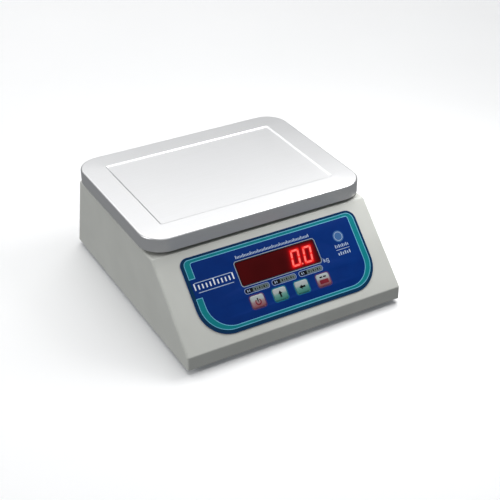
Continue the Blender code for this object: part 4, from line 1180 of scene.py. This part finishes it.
def rounded_slab(edges, corner, steps, low_z, high_z):
    """Rings of a slab whose edges turn over a quarter circle above and below."""
    turn = np.linspace(0, math.pi / 2, 4)
    insets = CAST_ROUNDING * np.concatenate([1 - np.sin(turn), 1 - np.cos(turn)])
    heights = np.concatenate([
        low_z + CAST_ROUNDING * (1 - np.cos(turn)), high_z - CAST_ROUNDING * (1 - np.sin(turn))])
    return rings_of(edges, insets, heights, corner - insets, steps)


def spider():
    low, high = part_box("pan_spider")
    middle_y = (low.y + high.y) / 2
    cushion_low, cushion_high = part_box("pan_cushion_4")
    reach = Vector(((cushion_low.x + cushion_high.x) / 2, (cushion_low.y + cushion_high.y) / 2 - middle_y))
    hub = rounded_slab(about(0, middle_y, HUB_HALF), 5 * MM, 6, low.z, high.z)
    made = loft("spider_casting", hub, CAST_ALUMINIUM, "platform", "cast_aluminium", node="pan_spider")
    arm_half = (reach.length + ARM_PAST_CUSHION, ARM_HALF_WIDTH)
    arm = rounded_slab(about(0, 0, arm_half), 9 * MM, 8, low.z, high.z)
    tools = []
    for lean in (-math.atan2(reach.y, reach.x), math.atan2(reach.y, reach.x)):
        along, aside = math.cos(lean), math.sin(lean)
        turned = np.array([(along, aside, 0), (-aside, along, 0), (0, 0, 1)])
        tools.append(cutter(arm @ turned + (0, middle_y, 0)))
    cut(made, tools, "UNION")
    holes = []
    for number in (1, 2):
        bolt_low, bolt_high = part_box(f"cell_bolt_upper_{number}")
        x, y, _ = (bolt_low + bolt_high) / 2
        holes.append(cutter(drum(circle(x, y, BOLT_HOLE), low.z - WELL_CLEAR, high.z + WELL_CLEAR)))
    cut(made, holes)
    hold_flat(made)
    return made


count(spider())

# %% Rubber cushions
CUSHION_HEIGHTS = np.array([0.0, 0.0, 0.06, 0.3, 0.62, 0.82, 0.94, 1.0, 1.0, 0.9, 0.88])
CUSHION_SCALES = np.array([0.5, 0.96, 1.0, 1.0, 0.97, 0.93, 0.86, 0.76, 0.34, 0.28, 0.05])


def cushion(number):
    node = f"pan_cushion_{number}"
    low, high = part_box(node)
    centre = (low + high) / 2
    heights = low.z + CUSHION_HEIGHTS * (high.z - low.z)
    radii = (high.x - low.x) / 2 * CUSHION_SCALES
    return round_part(f"cushion_{number}", centre, heights, radii, RUBBER, "platform", "rubber", node)


count(*(cushion(number) for number in range(1, 5)))

# %% [markdown]
# ## Power switch and socket
#
# The back carries a snap-in rocker switch and a round low-voltage socket. The switch's bezel and
# its well are one loft that runs up the outside, over the rim and down the inside. The rocker's
# face is hollow like a shallow valley, z = d (y / h)^2, and tips about its middle. Its section
# is carried across, a little smaller at each end, where it is rounded off.

# %% Rocker switch
ROCKER_HALF = (7.5, 4.3)
ROCKER_FACE, ROCKER_HOLLOW, ROCKER_BACK = 2.6, 0.68, -4.1
ROCKER_LEAN = math.radians(9)
BEZEL_RINGS = (
    (9.5, 6.5, -15.0, 0.8), (9.5, 6.5, 0.1, 0.8), (10.5, 7.5, 0.1, 1.6), (10.5, 7.5, 1.4, 1.6),
    (10.3, 7.3, 1.8, 1.5), (9.9, 6.9, 2.0, 1.3), (8.1, 5.5, 1.9, 0.5), (7.8, 5.1, 1.6, 0.4),
    (7.8, 5.1, -5.8, 0.4))


def on_switch(points):
    """World place of switch points in mm from the middle of its bezel."""
    return on_back(np.asarray(points, float) + (*SWITCH_PLACE, 0.0))


def on_rocker(points):
    """World place of rocker points: z over its hollow face, then turned by the lean about x."""
    x, y, z = np.moveaxis(np.asarray(points, float), -1, 0)
    z = z + ROCKER_FACE + ROCKER_HOLLOW * (y / ROCKER_HALF[1]) ** 2
    up, out = math.cos(ROCKER_LEAN), math.sin(ROCKER_LEAN)
    return on_switch(np.stack([x, y * up - z * out, y * out + z * up], axis=-1))


def power_switch():
    grid = np.stack([with_height(outline(-x, x, -y, y, r, 5), z) for x, y, z, r in BEZEL_RINGS])
    bezel = loft("switch_bezel", on_switch(grid), BLACK_PLASTIC, "chassis", "black_plastic",
                 node="switch_housing")
    half_x, half_y = ROCKER_HALF
    face_y = half_y * np.linspace(-1, 1, 17)
    section_y = np.append(face_y, [half_y, -half_y])
    section_z = np.append(np.zeros_like(face_y), [ROCKER_BACK, ROCKER_BACK])
    ends = ((-1.0, 0.5), (-0.985, 0.2), (-0.95, 0.0), (0.95, 0.0), (0.985, 0.2), (1.0, 0.5))
    grid = np.stack([np.column_stack([
        np.full(len(section_y), half_x * x), section_y * (1 - 0.04 * drop),
        section_z - drop * (section_z > ROCKER_BACK)]) for x, drop in ends])
    cap = loft("rocker_cap", on_rocker(grid), BLACK_PLASTIC, "rocker", "black_plastic",
               node="switch_rocker")
    marks = dict(body="rocker", slot="black_plastic", top=0.0, place=on_rocker)
    bar = [(x, -2.4) for x in (-1.3, -0.4, 0.4, 1.3)]
    return [
        bezel, cap, line("rocker_mark_on", bar, 0.5, PRINT_WHITE, closed=False, **marks),
        line("rocker_mark_off", circle(0.0, 2.4, 1.1, 24), 0.45, PRINT_WHITE, **marks)]


count(*power_switch())

# %% Power socket
SOCKET_HEIGHTS = [-12.0, 0.1, 0.1, 1.6, 2.1, 2.2, 2.2, 2.0, -8.4]
SOCKET_RADII = np.array([5.5, 5.5, 7.3, 7.3, 7.0, 6.6, 3.5, 2.9, 2.9])
SOCKET_KNURL = np.array([0, 0, 1, 1, 0.5, 0, 0, 0, 0]) * 0.12
PIN_HEIGHTS = [-8.4, -1.6, -1.2, -1.0]
PIN_RADII = [1.0, 1.0, 0.85, 0.45]


def power_socket():
    radii = SOCKET_RADII[:, None] + SOCKET_KNURL[:, None] * np.cos(24 * full_turn(72))
    return [
        round_part("socket_body", SOCKET_PLACE, SOCKET_HEIGHTS, radii, BLACK_PLASTIC, "chassis",
                   "black_plastic", "power_socket", on_back),
        round_part("socket_pin", SOCKET_PLACE, PIN_HEIGHTS, PIN_RADII, ZINC, "chassis", "zinc_steel",
                   place=on_back)]


count(*power_socket())


# %% [markdown]
# ## Studio: pale floor, soft light and the camera
#
# A pale floor and large soft lights show shape without hard shadows. A wide softbox overhead
# whitens the floor and leaves the walls in half-tone. Two panels stand behind, where the pan
# mirrors them towards the camera, and a third in front is only mirrored by whatever faces it. A
# small light near the right end of the fascia makes it fall off to the left. The camera looks
# down at about thirty-three degrees from the front left with a long lens.

# %% Floor
def floor_paper():
    made, tree, place = new_material("white studio paper")
    fibre = add(tree, "TexNoise", {"Vector": place, "Scale": per_metre(333.3), "Detail": 3.0})
    colour = add(tree, "ValToRGB", {"Fac": fibre}, [(0.3, "#FCFCFC"), (0.7, "#FEFEFE")])
    return finish_material(made, tree, {
        "Base Color": colour, "Roughness": 0.9, "Specular IOR Level": 0.1})


def floor():
    side = np.linspace(-30, 30, 5)
    flat = np.stack(np.meshgrid(side, side), axis=-1).reshape(-1, 2)
    mesh = bpy.data.meshes.new("studio_floor")
    mesh.from_pydata(with_height(flat, 0.0).tolist(), [], ring_quads(5, 5, closed=False))
    mesh.materials.append(floor_paper())
    made = new_object("studio_floor", mesh)
    made.visible_glossy = False
    made.visible_diffuse = False
    return made


count(floor())


# %% Lights
def soft_light(name, place, target, size, power):
    """A white rectangular softbox at a place, facing a target."""
    lamp = bpy.data.lights.new(name, "AREA")
    lamp.shape = "RECTANGLE"
    lamp.size, lamp.size_y = size
    lamp.energy = power
    made = new_object(name, lamp)
    made.location = place
    made.rotation_euler = (Vector(target) - Vector(place)).to_track_quat("-Z", "Y").to_euler()
    return made


soft_light("overhead_softbox", (0.1, 0.3, 2.3), (0, 0, 0), (2.6, 2.6), 30)
soft_light("rear_panel", (1.2, 2.1, 2.25), (0, 0, 0.1), (2.6, 1.6), 17)
soft_light("rear_left_panel", (-0.7, 2.3, 2.0), (0, 0, 0.1), (1.8, 1.2), 9)
front_panel = soft_light("front_panel", (-0.4, -2.6, 1.9), (0, 0, 0.1), (3.4, 1.6), 14)
front_panel.visible_diffuse = False
soft_light("near_key", (0.26, -0.06, 0.44), (0.10, -0.08, 0.09), (0.3, 0.3), 1.4)
soft_light("left_fill", (-2.4, 0.1, 1.0), (0, 0, 0.05), (1.4, 1.4), 18)
world = bpy.data.worlds.new("studio")
world.use_nodes = True
sky = world.node_tree.nodes["Background"]
sky.inputs["Color"].default_value = hex_colour("#F2F5F8")
sky.inputs["Strength"].default_value = 0.30
bpy.context.scene.world = world
bpy.context.scene.view_settings.view_transform = "Standard"

# %% Camera
CAMERA_PLACE = Vector((-0.5654, -1.0450, 0.7923))
CAMERA_YAW, CAMERA_PITCH = 0.5154, 0.5689
level = math.cos(CAMERA_PITCH)
sight = Vector((math.sin(CAMERA_YAW) * level, math.cos(CAMERA_YAW) * level, -math.sin(CAMERA_PITCH)))
lens = bpy.data.cameras.new("camera")
lens.lens = 78.84
lens.sensor_width = 36.0
lens.clip_start = 0.05
camera = new_object("camera", lens)
camera.location = CAMERA_PLACE
camera.rotation_euler = sight.to_track_quat("-Z", "Y").to_euler()
bpy.context.scene.camera = camera
print("camera at", tuple(camera.location))
